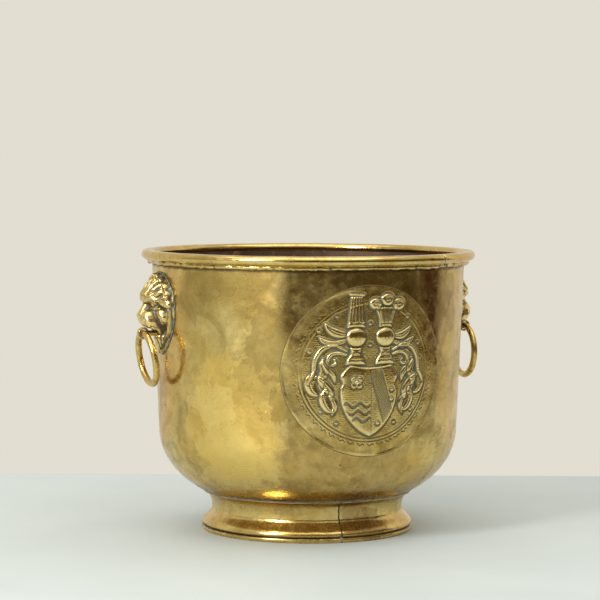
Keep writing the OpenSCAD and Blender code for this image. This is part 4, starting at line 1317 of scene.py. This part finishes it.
def table_material():
    """Matt paint with the faintest unevenness."""
    s = Shader("table_paint")
    cloud = s.noise(120, 4, 0.5)
    grain = s.noise(1.5, 4, 0.6)
    s.feed(s.bsdf.inputs["Base Color"], s.mix(s.spread(cloud, 0.3, 0.7), colour(0.475, 0.53, 0.53),
                                              colour(0.505, 0.56, 0.555)))
    s.feed(s.bsdf.inputs["Roughness"], s.spread(grain, 0.3, 0.7, 0.55, 0.7))
    s.feed(s.bsdf.inputs["Normal"], s.bump(grain, 0.03))
    return s.material


def glow(name, tint):
    """A card's surface: it gives off an even light."""
    material = bpy.data.materials.new(name)
    material.use_nodes = True
    tree = material.node_tree
    tree.nodes.clear()
    out = tree.nodes.new("ShaderNodeOutputMaterial")
    shine = tree.nodes.new("ShaderNodeEmission")
    shine.inputs["Color"].default_value = (*tint, 1)
    tree.links.new(shine.outputs[0], out.inputs[0])
    return material


def add_card(name, corners, material):
    """A flat card that only shows in reflections."""
    mesh = bpy.data.meshes.new(name)
    mesh.from_pydata([tuple(c) for c in corners], [], [(0, 1, 2, 3)])
    mesh.materials.append(material)
    card = bpy.data.objects.new(name, mesh)
    bpy.context.scene.collection.objects.link(card)
    card.visible_camera = False
    card.visible_diffuse = False
    card.visible_shadow = False


def add_table():
    """A thin table top whose back edge lies behind the pot."""
    front, side, thick = 4.0, 4.0, 0.02
    corners = [(TABLE_BACK, -side), (TABLE_BACK, side), (front, side), (front, -side)]
    mesh = bpy.data.meshes.new("table")
    bm = bmesh.new()
    top = [bm.verts.new(on_stage(a, b, 0)) for a, b in corners]
    low = [bm.verts.new(on_stage(a, b, -thick)) for a, b in corners]
    bm.faces.new(top)
    bm.faces.new(low[::-1])
    for i in range(4):
        bm.faces.new([top[i], low[i], low[(i + 1) % 4], top[(i + 1) % 4]])
    bmesh.ops.recalc_face_normals(bm, faces=bm.faces)
    bm.to_mesh(mesh)
    mesh.materials.append(table_material())
    table = bpy.data.objects.new("table", mesh)
    bpy.context.scene.collection.objects.link(table)


def add_light(name, place, aim, size, power, tint=(1, 1, 1)):
    light = bpy.data.lights.new(name, "AREA")
    light.shape = "RECTANGLE"
    light.size, light.size_y = size
    light.energy = power
    light.color = tint
    obj = bpy.data.objects.new(name, light)
    obj.location = place
    obj.rotation_mode = "QUATERNION"
    obj.rotation_quaternion = (aim - place).to_track_quat("-Z", "Y")
    bpy.context.scene.collection.objects.link(obj)


def add_world():
    """Cream where the camera looks past the pot; a soft room in light and reflections."""
    world = bpy.data.worlds.new("room")
    bpy.context.scene.world = world
    world.use_nodes = True
    tree = world.node_tree
    tree.nodes.clear()
    out = tree.nodes.new("ShaderNodeOutputWorld")
    plain = tree.nodes.new("ShaderNodeBackground")
    plain.inputs["Color"].default_value = (0.76, 0.73, 0.64, 1)
    room = tree.nodes.new("ShaderNodeBackground")
    place = tree.nodes.new("ShaderNodeTexCoord")
    split = tree.nodes.new("ShaderNodeSeparateXYZ")
    ramp = tree.nodes.new("ShaderNodeValToRGB")
    tree.links.new(place.outputs["Generated"], split.inputs[0])
    lift = tree.nodes.new("ShaderNodeMapRange")
    lift.inputs["From Min"].default_value = -1
    tree.links.new(split.outputs["Z"], lift.inputs["Value"])
    tree.links.new(lift.outputs[0], ramp.inputs[0])
    ramp.color_ramp.elements[0].position = 0.35
    ramp.color_ramp.elements[0].color = (0.55, 0.52, 0.46, 1)
    ramp.color_ramp.elements[1].position = 0.8
    ramp.color_ramp.elements[1].color = (0.97, 0.93, 0.85, 1)
    tree.links.new(ramp.outputs[0], room.inputs["Color"])
    room.inputs["Strength"].default_value = 0.62
    rays = tree.nodes.new("ShaderNodeLightPath")
    mix = tree.nodes.new("ShaderNodeMixShader")
    tree.links.new(rays.outputs["Is Camera Ray"], mix.inputs[0])
    tree.links.new(room.outputs[0], mix.inputs[1])
    tree.links.new(plain.outputs[0], mix.inputs[2])
    tree.links.new(mix.outputs[0], out.inputs[0])


def add_camera():
    data = bpy.data.cameras.new("camera")
    data.lens = LENS
    data.sensor_width = 36
    camera = bpy.data.objects.new("camera", data)
    look = -toward * math.cos(VIEW_YAW) + right * math.sin(VIEW_YAW)
    look = look * math.cos(VIEW_PITCH) - Vector((0, 0, math.sin(VIEW_PITCH)))
    level = (right * math.cos(VIEW_YAW) + toward * math.sin(VIEW_YAW)).normalized()
    over = level.cross(look)
    level, over = (level * math.cos(VIEW_ROLL) + over * math.sin(VIEW_ROLL),
                   over * math.cos(VIEW_ROLL) - level * math.sin(VIEW_ROLL))
    turn = Matrix((level, over, -look)).transposed()
    camera.matrix_world = Matrix.Translation(on_stage(VIEW_DISTANCE, 0, VIEW_HEIGHT)) @ turn.to_4x4()
    bpy.context.scene.collection.objects.link(camera)
    bpy.context.scene.camera = camera


def around(angle, distance, z):
    """A point on stage at an angle from the camera's side, positive to the picture's right."""
    a = math.radians(angle)
    return on_stage(distance * math.cos(a), distance * math.sin(a), z)


def add_cards():
    """What the brass mirrors: a dark room and doorway, a bright part of the table and a cream wall."""
    dark = glow("dark_room", (0.10, 0.075, 0.045))
    brown = glow("doorway", (0.085, 0.045, 0.02))
    for i, start in enumerate(range(-16, 84, 20)):
        stop = start + 20
        add_card(f"dark_floor_{i}", [around(start, DARK_NEAR, 0.003), around(stop, DARK_NEAR, 0.003),
                                     around(stop, DARK_FAR, 0.003), around(start, DARK_FAR, 0.003)], dark)
        add_card(f"dark_wall_{i}", [around(start, DARK_FAR, 0.0), around(stop, DARK_FAR, 0.0),
                                    around(stop, DARK_FAR, DARK_HIGH), around(start, DARK_FAR, DARK_HIGH)],
                 dark)
    add_card("doorway", [around(84, 0.85, 0.0), around(112, 0.85, 0.0),
                         around(112, 2.6, 1.4), around(84, 2.6, 1.4)], brown)
    bright = glow("bright_table", (1.5, 1.4, 1.2))
    add_card("bright_table", [around(-36, 1.25, 0.004), around(-21, 1.25, 0.004),
                              around(-21, 2.6, 0.004), around(-36, 2.6, 0.004)], bright)
    cream = glow("cream_wall", (0.74, 0.70, 0.61))
    add_card("cream_wall", [on_stage(-0.31, -3, -0.4), on_stage(-0.31, 3, -0.4),
                            on_stage(-0.31, 3, 1.6), on_stage(-0.31, -3, 1.6)], cream)


add_camera()
add_table()
add_world()
add_cards()
add_light("window", around(-40, 1.6, 0.95), Vector((0, 0, 0.1)), (0.36, 0.7), 22, (1.0, 0.98, 0.94))
add_light("ceiling", on_stage(0.3, 0, 1.8), Vector((0, 0, 0)), (2.4, 2.4), 26, (1.0, 0.97, 0.92))
add_light("fill", around(120, 1.8, 0.9), Vector((0, 0, 0.1)), (1.0, 1.0), 8, (1.0, 0.96, 0.9))
bpy.context.scene.view_settings.view_transform = "Standard"
